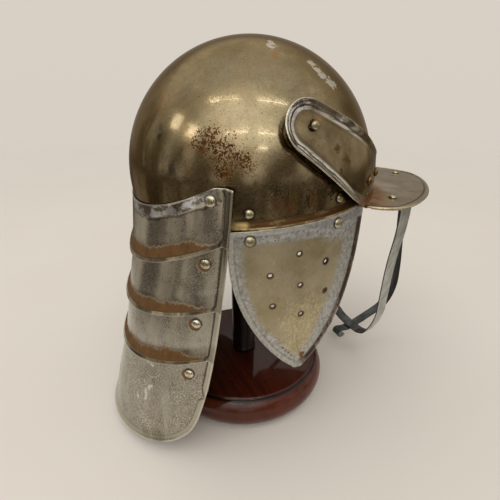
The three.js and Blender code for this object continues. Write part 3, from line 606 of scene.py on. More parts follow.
def bowlFinish():
    net = finishNet("tarnished nickel bowl")
    where = net.where
    drop = net.value("drop")
    broad = net.noise(where, 9.0, 5.0, 0.6)
    cloud = net.noise(where, 34.0, 6.0, 0.66, 0.4)
    fine = net.noise(where, 620.0, 4.0, 0.7)
    net.tone = net.mix(net.fade(broad, 0.36, 0.64), bowl["light"], bowl["dark"])
    net.lay((116, 92, 54), net.fade(drop, 50.0, -12.0, 0.0, 0.4))
    net.lay((96, 84, 58), net.fade(cloud, 0.52, 0.72, 0.0, 0.5))
    tall = net.stretch(where, (1, 1, 0.16))
    streak = net.fade(net.noise(tall, 52.0, 5.0, 0.62), 0.5, 0.66)
    side = net.spots(bowl["streaked"], 0.8, 30.0, 0.0)
    net.lay((150, 104, 54), net.times(streak, side), 0.8)
    net.lay((150, 112, 62), net.fade(streak, 0.0, 1.0, 0.0, 0.13))
    net.lay((84, 70, 44), net.fade(fine, 0.35, 0.7, 0.0, 0.22))
    # tarnish in blots and dots, heavier low down
    blots = net.noise(where, 85.0, 7.0, 0.74)
    lowDown = net.fade(drop, 62.0, 0.0, 0.25, 1.0)
    net.lay((78, 62, 36), net.times(net.fade(blots, 0.5, 0.66), net.times(lowDown, 0.75)))
    net.lay((176, 162, 128), net.fade(blots, 0.46, 0.34), 0.35)
    dots = net.specks(760.0, net.fade(lowDown, 0.0, 1.0, 0.24, 0.42), 0.05)
    net.lay((74, 58, 34), dots, 0.7)
    smudge = net.times(net.spots(bowl["smudge"], 2.2, 160.0, 0.2), 0.75)
    net.lay((58, 54, 44), smudge)
    dirtArea = net.spots(bowl["dirt"], 0.8, 60.0, 0.0)
    dirt = net.specks(560.0, net.times(dirtArea, 0.88), 0.08)
    dirt = net.times(dirt, net.fade(dirtArea, 0.0, 0.4))
    net.lay((44, 36, 24), dirt, 0.9)
    drips = net.fade(net.noise(net.stretch(where, (1, 1, 0.1)), 130.0, 3.0, 0.5), 0.56, 0.66)
    drips = net.times(drips, net.times(dirtArea, 0.3))
    net.lay((140, 106, 58), drips)
    brown = net.spots(bowl["brown"], 1.5, 90.0, 0.2)
    net.lay((92, 58, 36), brown, 0.75)
    rustArea = net.spots(bowl["rust"], 1.2, 60.0, 0.0)
    crumbs = net.specks(780.0, net.fade(rustArea, 0.0, 1.0, 0.24, 0.6), 0.07)
    clots = net.specks(380.0, net.fade(rustArea, 0.1, 1.0, 0.12, 0.5), 0.05)
    crumbs = net.times(net.most(crumbs, clots), net.fade(rustArea, 0.0, 0.25))
    stray = net.specks(420.0, 0.12, 0.03)
    rust = net.most(crumbs, stray)
    net.lay((124, 90, 52), rustArea, 0.45)
    rustColor = net.rust(150.0)
    net.lay(rustColor, rust)
    worn = net.spots(bowl["worn"] + bowl["wornBack"], 2.8, 230.0, 0.6)
    net.lay((214, 210, 200), worn)
    ochre = net.times(net.spots(bowl["wornStreak"], 2.4, 150.0, 0.3), 0.6)
    net.lay((150, 104, 56), ochre)
    # brim: rusty on top; rubbed bright along its round edge, with a painted highlight line there
    # and painted gold highlights on top
    lip = net.times(net.fade(drop, -13.6, -15.2), net.value("rimShare"))
    lipGrain = net.noise(net.stretch(where, (1, 1, 3)), 90.0, 5.0, 0.6)
    net.lay((82, 58, 34), net.times(lip, net.fade(lipGrain, 0.3, 0.5, 0.3, 1.0)))
    # painted highlight line along the round edge, over real rubbing
    lipRubAndHighlight = net.times(net.fade(drop, -18.1, -18.9), net.fade(lipGrain, 0.36, 0.6))
    net.lay((196, 172, 126), lipRubAndHighlight, 0.8)
    # painted gold highlights on the brim's top
    goldHighlight = net.spots(bowl["goldHighlight"], 1.2, 120.0, 0.3)
    net.lay((190, 164, 112), net.times(goldHighlight, lip))
    ringDirt = net.rings(rivetSeats("bowl"), 3.9, 6.0)
    net.lay((58, 46, 28), ringDirt, 0.7)
    matte = net.most(rust, net.times(dirt, 0.8), net.times(brown, 0.6), net.times(lip, 0.7))
    net.give("Metallic", net.fade(matte, 0.0, 1.0, 1.0, 0.25))
    gloss = net.plus(net.fade(cloud, 0.3, 0.7, 0.12, 0.22), net.fade(blots, 0.45, 0.7, 0.0, 0.1))
    gloss = net.plus(gloss, net.times(matte, 0.45), clamp=True)
    gloss = net.plus(gloss, net.times(worn, 0.25))
    net.give("Roughness", gloss)
    net.give("Coat Weight", net.fade(net.most(matte, worn), 0.0, 0.6, 0.6, 0.0))
    net.give("Coat Roughness", 0.05)
    net.give("Specular Tint", (196, 170, 122))
    hair = net.hair((1.0, 0.2, 0.35), 240.0, 0.01)
    return net.done([(net.noise(where, 17.0, 2.0, 0.4), 0.35, 0.0016), (cloud, 0.22, 0.0004),
                     (rust, 0.5, 0.0003), (worn, -0.4, 0.0002), (hair, -0.3, 0.0001),
                     (fine, 0.05, 0.0001)])


def rivetSeats(part):
    # the right-hand rivets of one part, mirrored to positive x, in metres
    return [(abs(x), y, z) for (x, y, z), *_ in rivetRows[part] if x <= 1e-6]


# Brow plate: a band over the forehead with two round ears
brow = {
    "radius": 119.0, "front": 2.4, "frontDeg": (44, 76), "pivotForward": 2.4, "pivotUp": 48.0,
    "earForward": -0.8, "earUp": 46.4, "earRadius": 18.1, "topSlope": -0.585, "lowSlope": -0.906,
    "cornerDeg": 64.2, "bottom": 2.4, "rimWidth": 7.2, "rimLift": 3.5, "rimFadeDeg": (48, 74),
    "rimFront": 0.5, "rivets": [(58.7, -2.4), (45, -2.4)], "hole": 2.9,
    "light": (154, 138, 104), "dark": (118, 98, 62),
    "rust": [(-113, -25.6, 283.2, 3.6), (-113.4, -34.2, 274.3, 4.2), (-115.8, -29, 267.2, 3.2),
             (-114.5, -36.5, 272.6, 2.6)],
    "dots": [(-103.5, -5.5, 312.2, 1.9), (-107.3, -31.9, 302, 2.4)],
    "ochre": [(-105.8, -18.2, 306.9, 6.5), (-106.8, -13.5, 305.2, 5)],
}
peak = {
    "rootInset": 1.8, "rootDeg": 60.4, "flange": 11.0, "atCorner": -22.8, "cornerForward": 55.6,
    "slope": -0.106, "centreForward": 83.5, "halfWidth": 115.0, "reach": 125.6, "round": 1.5,
    "rivetSide": (88, 100.5), "rivetCentre": 187.5,
    # the turned edge's section, as inset and height
    "bead": [(7.5, 0), (6.4, -0.05), (5.6, -0.25), (4.9, -0.55), (4.2, -0.4), (3.5, 0.05),
             (2.6, 0.32), (1.7, 0.22), (0.9, -0.2), (0.3, -0.85), (0, -1.7)],
    "light": (198, 180, 148), "dark": (162, 140, 106),
    "smear": [(-47, -140, 229, 20), (-30, -136, 230, 18), (-62, -128, 230, 12),
              (20, -150, 229, 22)],
}


def browRadiusAt(deg, z):
    face = brow["radius"] - brow["front"] * (1 - ease(np.abs(deg), *brow["frontDeg"]))
    return np.where(z > 0, np.sqrt(np.maximum(face**2 - np.square(z), 1)), face)


def browEdge(slope, side, inset, deg):
    reach = (brow["earRadius"] - inset) * math.hypot(1, slope) * side
    z = brow["earUp"]
    for _ in range(40):
        f = float(browRadiusAt(90, z)) * math.cos(math.radians(deg))
        z += 0.6 * (brow["earUp"] + slope * (f - brow["earForward"]) + reach - z)
    return deg, z


def earPoint(deg, inset):
    radius = brow["earRadius"] - inset
    f = brow["earForward"] + radius * math.cos(math.radians(deg))
    z = brow["earUp"] + radius * math.sin(math.radians(deg))
    return math.degrees(math.acos(min(f / float(browRadiusAt(90, z)), 1))), z


def peakTop(forward):
    return peak["atCorner"] + peak["slope"] * (forward - peak["cornerForward"])


def browMesh():
    width = brow["rimWidth"]
    upFrom = math.degrees(math.atan2(1, -brow["topSlope"]))
    lowFrom = math.degrees(math.atan2(-1, brow["lowSlope"])) + 360
    lines = []
    frontSteps, sideSteps, earSteps, cells = 44, 30, 26, 16
    for n in range(frontSteps + 1):
        deg = brow["cornerDeg"] * n / frontSteps
        face = float(browRadiusAt(deg, 0))
        low = peakTop(face * math.cos(math.radians(deg))) + brow["bottom"] + 1.6
        lines.append(((deg, low), browEdge(brow["topSlope"], 1, width, deg)))
    lowEnd, highEnd = earPoint(lowFrom, width)[0], earPoint(upFrom, width)[0]
    firstSide = browEdge(brow["lowSlope"], -1, width, brow["cornerDeg"])[1] - lines[-1][0][1]
    for n in range(1, sideSteps + 1):
        t = n / sideSteps
        deg, z = browEdge(brow["lowSlope"], -1, width,
                          brow["cornerDeg"] + (lowEnd - brow["cornerDeg"]) * t)
        z -= firstSide * (1 - float(ease(t, 0, 0.3)))
        high = browEdge(brow["topSlope"], 1, width,
                        brow["cornerDeg"] + (highEnd - brow["cornerDeg"]) * t)
        lines.append(((deg, z), high))
    middle = (upFrom + lowFrom) / 2
    for n in range(1, earSteps + 1):
        t = 0.93 * math.sin(math.pi / 2 * n / earSteps)
        lines.append((earPoint(lowFrom + (middle - lowFrom) * t, width),
                      earPoint(upFrom + (middle - upFrom) * t, width)))
    lines = [((-a, b), (-c, d)) for (a, b), (c, d) in reversed(lines[1:])] + lines
    share = np.linspace(0, 1, cells + 1)
    grid = []
    for (lowDeg, lowZ), (highDeg, highZ) in lines:
        deg = lowDeg + (highDeg - lowDeg) * share
        z = lowZ + (highZ - lowZ) * share
        grid.append(around(deg, browRadiusAt(deg, z), z))
    grid = np.array(grid)
    plate = sheetMaker(grid, (0, 0, 0))
    cell = plate.cell
    low = [(n, 0) for n in range(len(cell))]
    farEar = [(len(cell) - 1, k) for k in range(1, cells + 1)]
    high = [(n, cells) for n in range(len(cell) - 2, -1, -1)]
    nearEar = [(0, k) for k in range(cells - 1, 0, -1)]
    path = low + farEar + high + nearEar
    inner = [cell[min(max(n, 1), len(cell) - 2), min(max(k, 1), cells - 1)] for n, k in path]
    middleLine = (len(cell) - 1) // 2
    widths, lifts = [], []
    for n, k in path:
        column = abs(n - middleLine)
        deg = abs(math.degrees(math.atan2(-grid[n][k][0], -grid[n][k][1])))
        if k == cells and 0 < n < len(cell) - 1:
            widths.append(width)
            turn = float(ease(deg, *brow["rimFadeDeg"]))
            lifts.append(brow["rimFront"] + (brow["rimLift"] - brow["rimFront"]) * turn)
        elif k == 0 and column <= frontSteps:
            turn = float(ease(column, frontSteps - 3, frontSteps + 0.5))
            widths.append(1.6 + 0.6 * turn)
            lifts.append(0.35 * turn)
        elif k == 0 and column <= frontSteps + sideSteps:
            turn = float(ease(column, frontSteps, frontSteps + 9))
            widths.append(2.2 + (width - 2.2) * turn)
            lifts.append(0.35 + (brow["rimLift"] - 0.35) * turn)
        else:
            widths.append(width)
            lifts.append(brow["rimLift"])
    plate.addRim([cell[n, k] for n, k in path], inner, widths, lifts, closed=True, power=2.0,
                 steps=8)
    verts, faces = plate.wall()
    edge = plate.fromEdge(verts)
    deg = np.degrees(np.arctan2(-verts[:, 0], -verts[:, 1]))
    above = verts[:, 2] - peakTop(-verts[:, 1])
    return tilted(verts), faces, {"edge": edge, "above": above, "bearing": np.abs(deg)}


def peakOutline(part):
    side, share, straight = math.copysign(1, part), abs(part), 0.86
    if share <= straight:
        turn = math.pi / 2 * share / straight
        left = peak["halfWidth"] * math.sin(turn) ** (2 / peak["round"])
        ahead = peak["reach"] * math.cos(turn) ** (2 / peak["round"])
        return side * left, peak["centreForward"] + ahead
    back = (share - straight) / (1 - straight)
    return side * (peak["halfWidth"] - 9.5 * back * back), peak["centreForward"] - 22 * back


def peakMesh():
    steps, bead = 110, peak["bead"]
    grid = []
    for n in range(-steps, steps + 1):
        part = n / steps
        deg = peak["rootDeg"] * part
        rim, forward = peakOutline(part)
        face = float(browRadiusAt(deg, 0)) - peak["rootInset"]
        root = peakTop(face * math.cos(math.radians(deg)))
        line = [around(deg, face, root + h) for h in (peak["flange"], 7.5, 4.2)]
        for out, up in ((0.02, 2.6), (0.25, 1.45), (0.8, 0.6)):
            line.append(around(deg, face + out, root + up))
        start = around(deg, face + 2.0, root)
        start[2] = peakTop(-start[1])
        line.append(start)
        end = np.array([-rim, -forward, peakTop(forward)])
        reach = np.linalg.norm(end - start)
        way = (end - start) / reach
        for t in (0.12, 0.26, 0.4, 0.54, 0.68, 0.82, 0.95):
            line.append(start + (end - way * bead[0][0] - start) * t)
        for inset, drop in bead:
            line.append(end - way * inset + np.array([0, 0, drop]))
        grid.append(line)
    plate = sheetMaker(np.array(grid), (0, -60, -80))
    verts, faces = plate.wall()
    plate.edgePoints = np.array(grid)[:, -1]
    edge = plate.fromEdge(verts)
    plate.edgePoints = np.array(grid)[:, 5]
    return tilted(verts), faces, {"edge": edge, "fromRoot": plate.fromEdge(verts)}


# Cheek plates: shields hung below the brim
cheek = {
    "radius": 116.0, "midDeg": 92.2, "halfDeg": 27.4, "top": -21.8, "topSlope": 0.15, "tip": -151.0,
    "lean": 4.0, "rim": (3.6, 2.4),
    "hole": 1.6, "ring": 28.2, "holeMid": (93.4, -72.2), "holeTurn": -5.8,
    "rivets": {"rear": (113.8, -31), "front": (78, -24.6)}, "tabWidth": 13.0, "tabThick": 2.0,
    "topUp": 1.2,        # carried up under the brim
    "light": (186, 174, 146), "dark": (168, 155, 124),
    "drop": [(112.2, -8, 107, 3.2), (112.2, -8.4, 104, 2.2)],
    "streak": [(-111, 10.5, 118.5, 1.5), (-111.2, 7.8, 115.5, 1.4), (-111.4, 5, 112, 1.4),
               (-111.6, 2.4, 108.8, 1.3)],
}


def cheekPlace(deg, height):
    down = np.clip((cheek["top"] - height) / (cheek["top"] - cheek["tip"]), 0, 1)
    return around(deg, cheek["radius"] - cheek["lean"] * down, height)


def cheekMesh(side):
    steps, cells = 72, 36
    rows = []
    for n in range(steps + 1):
        up = 1 - math.sin(math.pi / 2 * n / steps) ** 0.9
        half = max(cheek["halfDeg"] * math.sin(math.pi / 2 * min(1, up / 0.85) ** 0.8), 1.0)
        off = half * np.linspace(-1, 1, cells + 1)
        top = cheek["top"] + cheek["topUp"] - cheek["topSlope"] * off
        rows.append(cheekPlace(side * (cheek["midDeg"] + off),
                               cheek["tip"] + (top - cheek["tip"]) * up))
    inside = (0, 0, cheek["tip"] / 2)
    plate = sheetMaker(np.array(rows), inside)
    cell = plate.cell
    path = [(n, 0) for n in range(steps + 1)] + [(steps, k) for k in range(1, cells)]
    path += [(n, cells) for n in range(steps, -1, -1)]
    inner = [cell[min(n, steps - 1), min(max(k, 1), cells - 1)] for n, k in path]
    plate.addRim([cell[n, k] for n, k in path], inner, *cheek["rim"], power=1.5, steps=6)
    verts, faces = plate.wall()
    edge = plate.fromEdge(verts)
    values = {"edge": edge, "fall": cheek["top"] - verts[:, 2], "forward": -verts[:, 1]}
    return level(verts), faces, values


def cheekHoles(side):
    points, ways = [], []
    turns = [math.radians(90 + cheek["holeTurn"] + 60 * k) for k in range(6)]
    for turn, ring in [(0, 0)] + [(turn, cheek["ring"]) for turn in turns]:
        deg = side * (cheek["holeMid"][0] + math.degrees(ring * math.cos(turn) / cheek["radius"]))
        height = cheek["holeMid"][1] + ring * math.sin(turn)
        points.append(cheekPlace(deg, height))
        ways.append(around(deg, 1, 0))
    return level(np.array(points)), np.array(ways)


# Tail: four lames on one flaring surface
tail = {
    "side": (98.5, 64.3),
    "spine": [(12, 113.2), (-19, 112), (-67.3, 117.2), (-112.4, 126.2), (-161, 135.4),
              (-206, 148.4), (-240, 156.5)],
    "crease": [(12, 1.028), (-26, 0.998), (-68, 0.952), (-110, 0.905), (-146, 0.86),
               (-169, 0.826)],
    "foot": [(0, -236.6), (0.148, -236.4), (0.295, -235.6), (0.44, -233.4), (0.565, -229),
             (0.67, -221), (0.75, -206), (0.826, -169)],
    "edges": [(-18.2, 11.2, 2.1, 8), (-69.3, -34, 1.6, 1e9), (-115.2, -88, 1.5, 1e9),
              (-162.2, -133.8, 1.6, 1e9)],
    "lap": 6.0, "tuck": 1.2, "flare": (3.4, 1.9), "flareRun": 15.0, "rim": (5.0, 3.0),
    "footLift": 1.6, "rivets": [(0.922, -1.3), (0.87, -50.8), (0.794, -105.3), (0.738, -156)],
    # light and dark tone of each lame
    "tones": [((212, 207, 195), (188, 181, 164)), ((206, 202, 190), (182, 176, 160)),
              ((180, 176, 164), (154, 148, 132)), ((166, 162, 150), (142, 136, 121))],
    "bits": [(-22, 103, 239, 3), (-32, 101, 233, 2.4), (-62, 90, 234, 2.2)],
    "scars": [(-51.1, 114.1, 90.2, 2.4), (-54, 112.6, 89.8, 2.2), (-48, 115.4, 91, 2.2),
              (-52, 121.2, 60.1, 3.4), (-50.8, 120.4, 63.5, 3.0), (-54.5, 118.4, 66.5, 2.8),
              (-49, 119.6, 67, 2.8), (-53.0, 122.6, 56.5, 3.2), (-52.6, 123.6, 53, 3.0),
              (-43.5, 128.2, 51.5, 2.8), (-56.6, 116.8, 69.5, 2.4), (-47.6, 120.2, 70, 2.4)],
    "scarSize": 0.78,
    "arc": [(-58, 113, 79, 9)],
    "footStain": [(-69, 117, 20, 12), (-55, 124, 18, 12), (-40, 132, 16, 10)],
}


def tailPlace(across, height, lift):
    spine = readTable(tail["spine"], height)
    half, back = tail["side"]
    rise = spine - back
    radius = (half**2 + rise**2) / (2 * rise)
    mid = spine - radius
    turn = across * np.arctan2(half, back - mid)
    return np.stack([-(radius + lift) * np.sin(turn), mid + (radius + lift) * np.cos(turn),
                     height + 0 * turn], axis=-1)


def lameEdge(number, k, above=0.0):
    spine, side, bow, most = tail["edges"][number]
    across = k
    for _ in range(14):
        height = np.minimum(spine + above + (side - spine) * np.abs(across) ** bow, most)
        across = k * readTable(tail["crease"], height, True)
    return np.stack([across, height], axis=-1)


def footEdge(k):
    rows = tail["foot"]
    out = []
    for one in k:
        share = abs(one) * (len(rows) - 1)
        n = min(int(share), len(rows) - 2)
        t = share - n
        pick = []
        for m in range(n - 1, n + 3):
            pick.append((-rows[-m][0], rows[-m][1]) if m < 0 else rows[min(m, len(rows) - 1)])
        place = curveAt(*np.array(pick), t)
        out.append((math.copysign(1, one) * place[0] if one else 0, place[1]))
    return np.array(out)


def lameMesh(number):
    cells = 96
    k = np.linspace(-1, 1, cells + 1)
    hasNext = number + 1 < len(tail["edges"])
    rows = []
    top = lameEdge(number, k)

    def addRow(place, lift):
        rows.append(tailPlace(place[:, 0], place[:, 1], lift))

    if number > 0:
        for t in (1.0, 0.75, 0.5, 0.25):
            addRow(lameEdge(number, k, tail["lap"] * t), -tail["tuck"] * float(ease(t, 0, 1)))
    if hasNext:
        low = lameEdge(number + 1, k, tail["flareRun"])
        for t in np.linspace(0, 1, 15):
            addRow(top + (low - top) * t, 0)
        flare = tail["flare"][1] + (tail["flare"][0] - tail["flare"][1]) * (1 - k**4)
        for t in (0.1, 0.2, 0.32, 0.44, 0.56, 0.68, 0.78, 0.86, 0.93, 0.97, 1.0):
            lift = flare * (t**1.45)
            addRow(lameEdge(number + 1, k, tail["flareRun"] * (1 - t)), lift)
    else:
        foot = footEdge(k)
        for t in np.concatenate([np.linspace(0, 0.9, 26), [0.925, 0.95, 0.97, 0.985, 1.0]]):
            addRow(top + (foot - top) * t, 0)
    grid = np.array(rows)
    inside = (0, 40, -100)
    plate = sheetMaker(grid, inside)
    cell = plate.cell
    last = len(cell) - 1
    width, lift = tail["rim"]
    if hasNext:
        for column, near in ((0, 1), (cells, cells - 1)):
            plate.addRim(cell[:, column], cell[:, near], width, lift, power=1.12, steps=5)
    else:
        path = [(n, 0) for n in range(last + 1)] + [(last, c) for c in range(1, cells)]
        path += [(n, cells) for n in range(last, -1, -1)]
        inner = [cell[min(n, last - 1), min(max(c, 1), cells - 1)] for n, c in path]
        lifts = []
        for n, c in path:
            share = abs(2 * c / cells - 1)
            more = float(1 - ease(share, 0.72, 1.0)) if n == last else 0
            lifts.append(lift + (tail["footLift"] - lift) * more)
        plate.addRim([cell[n, c] for n, c in path], inner, width, lifts, power=1.12, steps=5)
    verts, faces = plate.wall()
    edge = plate.fromEdge(verts)
    turn = np.arctan2(-verts[:, 0], verts[:, 1] + 20)
    topRow, lowRow = grid[4 if number else 0], grid[-1]
    topTurn = np.arctan2(-topRow[:, 0], topRow[:, 1] + 20)
    lowTurn = np.arctan2(-lowRow[:, 0], lowRow[:, 1] + 20)
    order, lowOrder = np.argsort(topTurn), np.argsort(lowTurn)
    fall = np.interp(turn, topTurn[order], topRow[order, 2]) - verts[:, 2]
    ridge = verts[:, 2] - np.interp(turn, lowTurn[lowOrder], lowRow[lowOrder, 2])
    sides = np.vstack([grid[:, 0], grid[:, -1]])
    gaps = np.linalg.norm(plate.edgePoints[:, None] - sides[None], axis=2)
    pick = sides[gaps.argmin(axis=1)]
    edgeTurn = np.abs(np.arctan2(-plate.edgePoints[:, 0], plate.edgePoints[:, 1] + 20))
    sideTurn = np.abs(np.arctan2(-pick[:, 0], pick[:, 1] + 20))
    near = (gaps.min(axis=1) < width + 1.6) & (edgeTurn > sideTurn + 0.02)
    if not hasNext:
        near |= plate.edgePoints[:, 2] < plate.edgePoints[:, 2].min() + 60
    plate.edgePoints = plate.edgePoints[near]
    values = {"edge": edge, "ridge": ridge, "fall": fall, "fromSide": plate.fromEdge(verts)}
    return level(verts), faces, values


# Face guard strips and leather tabs: routes in millimetres
guard = {
    "width": 12.0, "thick": 1.2, "lean": -0.183, "top": 97.4, "tab": [84, 94, 103.5, 106.4],
    "side": [(107.3, -34), (103.6, -47.2), (99.2, -61.2), (92.6, -79.2), (86.9, -95.5),
             (79.9, -118.4), (73, -143.2), (67.3, -163.7), (62.6, -178.2), (54.8, -194.5),
             (43.5, -212.8), (33.4, -226), (20.9, -233.8), (8, -236)],
    "centreTab": [181, 192, 202],
    "centre": [(205, -43.2), (206.3, -48), (205.4, -70), (205, -95), (205.6, -122.7),
               (206.8, -153.8), (206.7, -171.9), (205.4, -190.3), (200.2, -206), (192, -217.6),
               (179.6, -225.4), (159.4, -232), (143.5, -236.8), (133, -239.2), (124, -239.6),
               (115.5, -237.8), (111.6, -240), (110.8, -243.6), (113.6, -247), (118, -247.4),
               (120.8, -244.4)],
    # tones of the outer and inner face: painted reflections, the pale room on the outer face and
    # the dark helmet inside on the inner
    "outer": ((206, 208, 204), (176, 178, 172)), "inner": ((98, 101, 100), (72, 74, 72)),
}


def underPeak(forward):
    return peakTop(forward) - sheet - 0.3 - guard["thick"] / 2 - 0.1


def sideRoute():
    top = underPeak(guard["top"])
    firstZ = guard["side"][0][1]
    alongPeak, alongGuard = np.array([0, -1, peak["slope"]]), np.array([0, -1, -guard["lean"]])
    half = []
    for n, left in enumerate(guard["tab"]):
        share = 0.5 if n == 3 else 0
        place = [-left, -guard["top"], top - (0.8 if n == 3 else 0)]
        half.append(place + list(alongPeak * (1 - share) + alongGuard * share))
    for left, z in guard["side"]:
        half.append([-left, -(guard["top"] + guard["lean"] * (z - firstZ)), z] + list(alongGuard))
    bottom = guard["side"][-1][1] - 0.3
    middle = [[0, -(guard["top"] + guard["lean"] * (bottom - firstZ)), bottom] + list(alongGuard)]
    other = [[-row[0]] + row[1:] for row in reversed(half)]
    return smoothPath(half + middle + other, 2.0)


def centreRoute():
    rows = [[0, -f, underPeak(f), 1, 0, 0] for f in guard["centreTab"]]
    rows += [[0, -f, z, 1, 0, 0] for f, z in guard["centre"]]
    return smoothPath(rows, 1.6)


def tabRoute(deg, height):
    lean = -math.cos(math.radians(deg)) * cheek["radius"] * math.sin(-math.radians(seat["tiltDeg"]))
    bowlSide = bowl["radius"] - sheet - 0.3 - 1.6 - cheek["tabThick"] / 2
    plate = cheek["radius"] - sheet - 0.3 - 0.9 - cheek["tabThick"] / 2
    rows = [(bowlSide, 1 + lean), (bowlSide, -8 + lean), (bowlSide - 0.4, -15 + lean),
            (bowlSide + 0.6, -20 + lean), (plate - 1.4, -26 + lean * 0.6), (plate - 0.2, height),
            (plate - 0.6, height - 9)]
    wide = around(deg + 90, 1, 0)
    return smoothPath([list(around(deg, r, z)) + list(wide) for r, z in rows], 1.5)


# Rivets: seat, outward way, radius and dome, in metres
# the heads in the picture are a little larger than the solids hold
rivet = {
    "radius": 3.4, "dome": 2.5, "pinRadius": 4.4, "pinDome": 2.6, "pinShown": 3.3,
    # light and dark tone, grime and roughness
    "brass": ((206, 198, 170), (166, 154, 118), (66, 52, 32), 0.22),
    "silver": ((226, 220, 202), (176, 166, 138), (78, 50, 28), 0.08),
    "browned": ((150, 118, 74), (112, 82, 48), (60, 38, 22), 0.32),
    "shown": {"bowl": 1.12, "cheek": 1.2, "tail": 1.32, "brow": 1.05, "peak": 1.05},
}


def turnTilted(way):
    turn = math.radians(seat["tiltDeg"])
    x, y, z = way
    return np.array([x, y * math.cos(turn) + z * math.sin(turn),
                     -y * math.sin(turn) + z * math.cos(turn)])


def gatherRivets():
    rows = {"bowl": [], "pins": [], "cheek": [], "tail": [], "brow": [], "peak": []}
    size = (rivet["radius"] / 1000, rivet["dome"] / 1000)
    lift = 0.1
    for side in (1, -1):
        for deg, z in bowl["rivets"].values():
            place = around(side * deg, math.sqrt(bowl["radius"]**2 - z * z), z)
            way = place / np.linalg.norm(place)
            rows["bowl"].append((tilted(place + way * lift), turnTilted(way), *size))
        reach = math.sqrt(brow["radius"]**2 - (brow["pivotUp"] - rivet["pinRadius"])**2)
        place = np.array([-side * (reach + 0.3), -brow["pivotForward"], brow["pivotUp"]])
        rows["pins"].append((tilted(place), turnTilted((-side, 0, 0)), rivet["pinShown"] / 1000,
                             rivet["pinDome"] / 1000))
        for deg, z in cheek["rivets"].values():
            way = around(side * deg, 1, 0)
            rows["cheek"].append((level(cheekPlace(side * deg, z) + way * lift), way, *size))
        for across, z in tail["rivets"]:
            place, off = tailPlace(side * across, z, 0.1), tailPlace(side * across, z, 1.1)
            rows["tail"].append((level(place), off - place, *size))
        for deg, z in brow["rivets"]:
            way = around(side * deg, 1, 0)
            place = around(side * deg, float(browRadiusAt(deg, z)) + lift, z)
            rows["brow"].append((tilted(place), turnTilted(way), *size))
    up = np.array([0, peak["slope"], 1]) / math.hypot(1, peak["slope"])
    left, forward = peak["rivetSide"]
    for left, forward in ((left, forward), (-left, forward), (0, peak["rivetCentre"])):
        place = np.array([-left, -forward, peakTop(forward)]) + up * lift
        rows["peak"].append((tilted(place), turnTilted(up), *size))
    return rows


rivetRows = gatherRivets()


# Geometry node trees
def newTree(name, inputs):
    tree = bpy.data.node_groups.new(name, "GeometryNodeTree")
    tree.interface.new_socket("Geometry", in_out="INPUT", socket_type="NodeSocketGeometry")
    for label, kind, start in inputs:
        socket = tree.interface.new_socket(label, in_out="INPUT", socket_type="NodeSocket" + kind)
        if start is not None:
            socket.default_value = start
    tree.interface.new_socket("Geometry", in_out="OUTPUT", socket_type="NodeSocketGeometry")
    net = nodeNet(tree)
    return net, net.add("NodeGroupInput").outputs, net.add("NodeGroupOutput").inputs


def closeTree(net, given, out, shape):
    shape = net.made("GeometryNodeSetMaterial", {"Geometry": shape, "Material": given["Finish"]})
    net.tree.links.new(shape, out["Geometry"])
    return net.tree


def named(net, label, kind="FLOAT"):
    return net.add("GeometryNodeInputNamedAttribute", {"Name": label},
                   data_type=kind).outputs["Attribute"]


def bakeTree(piece, tree, settings):
    modifier = piece.modifiers.new("shape", "NODES")
    modifier.node_group = tree
    for item in tree.interface.items_tree:
        if item.item_type == "SOCKET" and item.in_out == "INPUT" and item.name in settings:
            modifier[item.identifier] = settings[item.name]
    seen = bpy.context.evaluated_depsgraph_get()
    mesh = bpy.data.meshes.new_from_object(piece.evaluated_get(seen), preserve_all_data_layers=True,
                                           depsgraph=seen)
    piece.modifiers.clear()
    piece.data = mesh


def rivetTree():
    net, given, out = newTree("domed rivets",
                              [("Seed", "Int", 3), ("Wobble", "Float", 0.05),
                               ("Finish", "Material", None)])
    ball = net.add("GeometryNodeMeshUVSphere",
                   {"Segments": 40, "Rings": 24, "Radius": 1.0}).outputs["Mesh"]
    place = net.made("GeometryNodeInputPosition")
    parts = net.add("ShaderNodeSeparateXYZ", {0: place}).outputs
    # the lower half closes flat under the head; the dome is a little full at its shoulders
    up = net.most(parts[2], 0.0)
    full = net.math("POWER", up, 0.82)
    shape = net.made("ShaderNodeCombineXYZ", {0: parts[0], 1: parts[1], 2: full})
    dome = net.made("GeometryNodeSetPosition", {"Geometry": ball, "Position": shape})
    dome = net.made("GeometryNodeStoreNamedAttribute",
                    {"Geometry": dome, "Name": "domeUp", "Value": full}, data_type="FLOAT",
                    domain="POINT")
    turn = net.made("FunctionNodeAlignRotationToVector",
                    {"Vector": named(net, "way", "FLOAT_VECTOR")}, axis="Z")
    low = net.minus(1.0, given["Wobble"])
    random = net.add("FunctionNodeRandomValue", data_type="FLOAT")
    net.feed(random.inputs[2], low)
    net.feed(random.inputs[3], 1.0)
    net.feed(random.inputs["Seed"], given["Seed"])
    wide = net.times(named(net, "wide"), random.outputs[1])
    tall = net.times(named(net, "tall"), random.outputs[1])
    size = net.made("ShaderNodeCombineXYZ", {0: wide, 1: wide, 2: tall})
    heads = net.made("GeometryNodeInstanceOnPoints",
                     {"Points": given["Geometry"], "Instance": dome, "Rotation": turn,
                      "Scale": size})
    heads = net.made("GeometryNodeRealizeInstances", {0: heads})
    heads = net.made("GeometryNodeSetShadeSmooth", {"Geometry": heads})
    return closeTree(net, given, out, heads)


